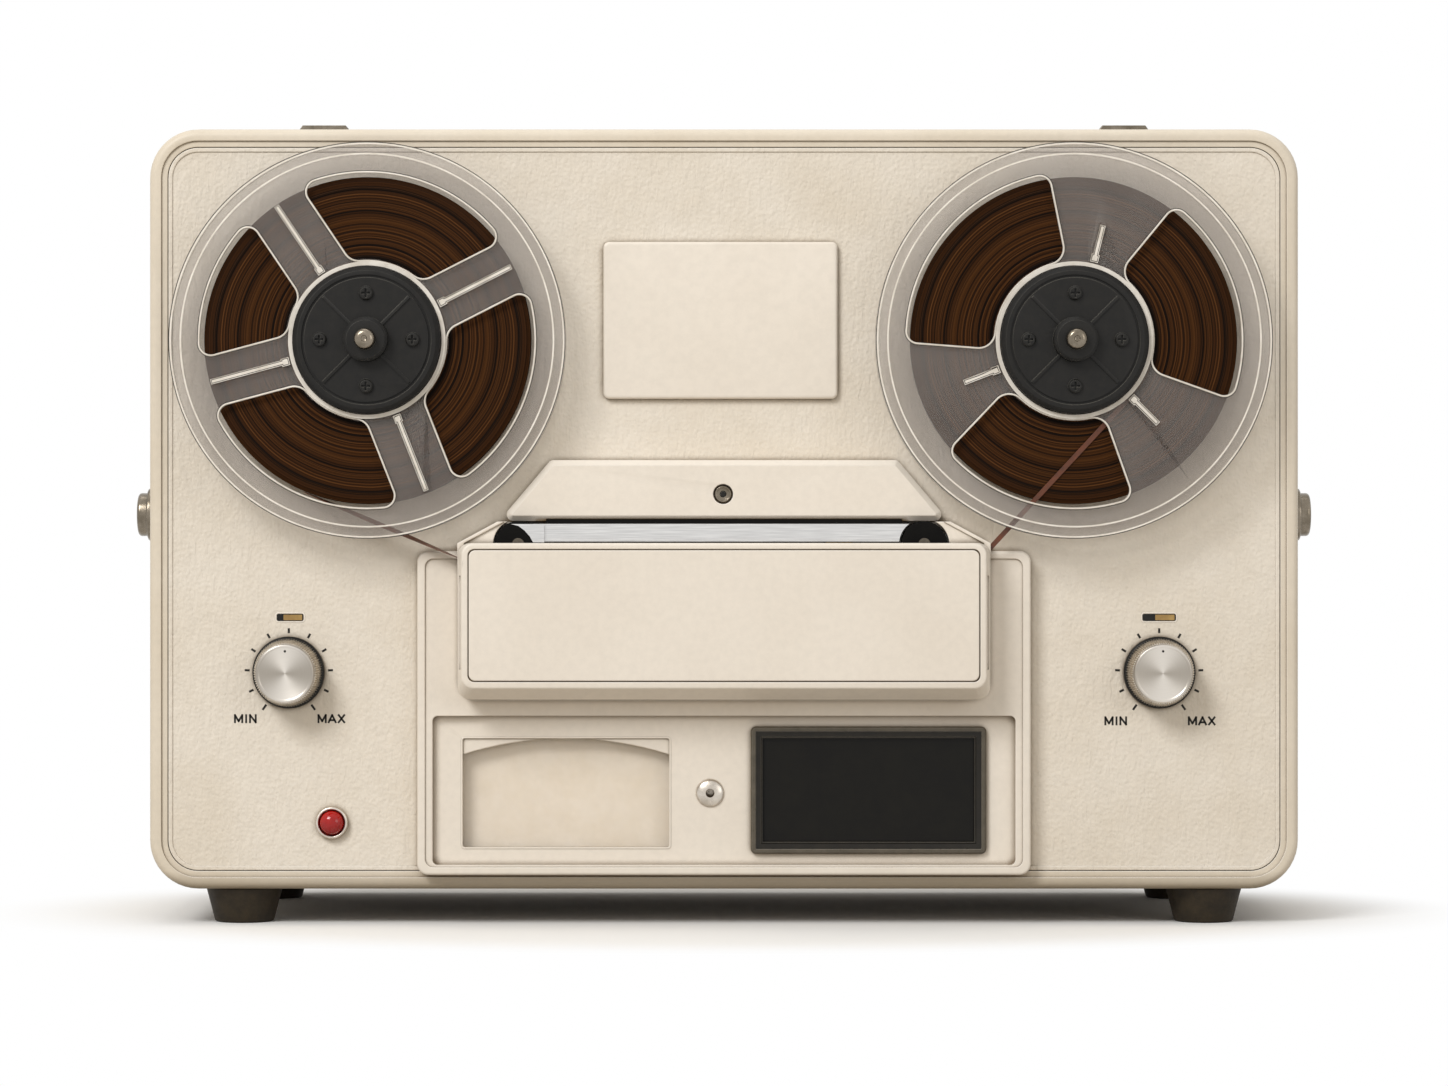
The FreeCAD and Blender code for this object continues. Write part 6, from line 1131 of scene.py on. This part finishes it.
class TAPEECHO_OT_bay(bpy.types.Operator):
    """Builds the dark window's frame and the front jack, and dresses the meter"""
    bl_idname = "tapeecho.bay"
    bl_label = "Meter, window and jack"

    def execute(self, context):
        dress(card(), "meter_face")
        dress(black_abs(), "meter_case", "meter_needle")
        dress(clear_pane(), "meter_glass")
        lip = stepped(*METER_LIP, 1.6, METER_LIP_STEPS, True)
        piece("meter_window_lip", lip, cover_cream(), "root",
              place=front(*METER_PLACE, PANEL_FACE))
        low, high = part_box("window_bezel")
        x, z = centre("window_bezel")
        width, height = (high.x - low.x) / MM, (high.z - low.z) / MM
        outer = stepped(width, height, 2.4, FRAME_STEPS, True)
        piece("window_frame", outer, window_frame(), "root", ("window_bezel",),
              place=front(x, z, PANEL_FACE))
        inner = stepped(width - FRAME_RAIL, height - FRAME_RAIL, 0.0, RECESS_STEPS, True)
        piece("window_frame_inner", inner, frame_recess(), "root",
              place=front(x, z, PANEL_FACE))
        dress(smoked(), "smoked_glass")
        dome = [point for point in reversed(domed(*JACK_DOME)) if point[0] > JACK_RIM]
        jack = spun(list(JACK_BORE) + dome + list(JACK_BODY), 96)
        piece("jack_domed", jack, satin_silver(), "root", ("front_jack",),
              place=front(*JACK_PLACE))
        return {"FINISHED"}


class TAPEECHO_OT_hardware(bpy.types.Operator):
    """Dresses the lid catches, nickel on faces that look front, back or up, and dresses the side buttons
    and the rear connectors
    """
    bl_idname = "tapeecho.hardware"
    bl_label = "Catches, buttons and connectors"

    def execute(self, context):
        catches = softened("lid_catches", dark_steel(), 0.3, segments=3)
        catches.data.materials.append(nickel())
        # Faces that look front, back or up are nickel; the rest stay dark lacquered steel.
        for face in catches.data.polygons:
            face.material_index = int(abs(face.normal.y) > 0.9 or face.normal.z > 0.9)
        softened("left_side_button", nickel(), 0.4, "left_button", 3)
        softened("right_side_button", nickel(), 0.4, "right_button", 3)
        softened("button_bezels", nickel(), 0.4, segments=3)
        softened("rear_jacks", nickel(), 0.3)
        softened("mains_inlet", black_abs(), 0.4)
        dress(iron(), "transformer")
        dress(circuit(), "main_board")
        return {"FINISHED"}


OPERATORS = (
    TAPEECHO_OT_stage, TAPEECHO_OT_case, TAPEECHO_OT_covers, TAPEECHO_OT_reels, TAPEECHO_OT_transport,
    TAPEECHO_OT_controls, TAPEECHO_OT_bay, TAPEECHO_OT_hardware,
)


class TAPEECHO_PT_panel(bpy.types.Panel):
    """Lists the sizes, the colours and the operators in the sidebar"""
    bl_idname = "TAPEECHO_PT_panel"
    bl_label = "Tape Echo Unit"
    bl_space_type = "VIEW_3D"
    bl_region_type = "UI"
    bl_category = "Tape Echo"

    def draw(self, context):
        for group in (context.scene.tapeecho_sizes, context.scene.tapeecho_colours):
            for name in group.__annotations__:
                self.layout.prop(group, name)
        for operator in OPERATORS:
            self.layout.operator(operator.bl_idname)


CLASSES = (TapeEchoSizes, TapeEchoColours) + OPERATORS + (TAPEECHO_PT_panel,)


def register():
    """Registers the classes and gives the scene its sizes and colours."""
    for cls in CLASSES:
        bpy.utils.register_class(cls)
    bpy.types.Scene.tapeecho_sizes = bpy.props.PointerProperty(type=TapeEchoSizes)
    bpy.types.Scene.tapeecho_colours = bpy.props.PointerProperty(type=TapeEchoColours)


def unregister():
    """Takes back what register did."""
    del bpy.types.Scene.tapeecho_colours
    del bpy.types.Scene.tapeecho_sizes
    for cls in reversed(CLASSES):
        bpy.utils.unregister_class(cls)


def main():
    """Builds every piece in order."""
    register()
    for operator in OPERATORS:
        group, name = operator.bl_idname.split(".")
        getattr(getattr(bpy.ops, group), name)()


if __name__ == "__main__":
    main()
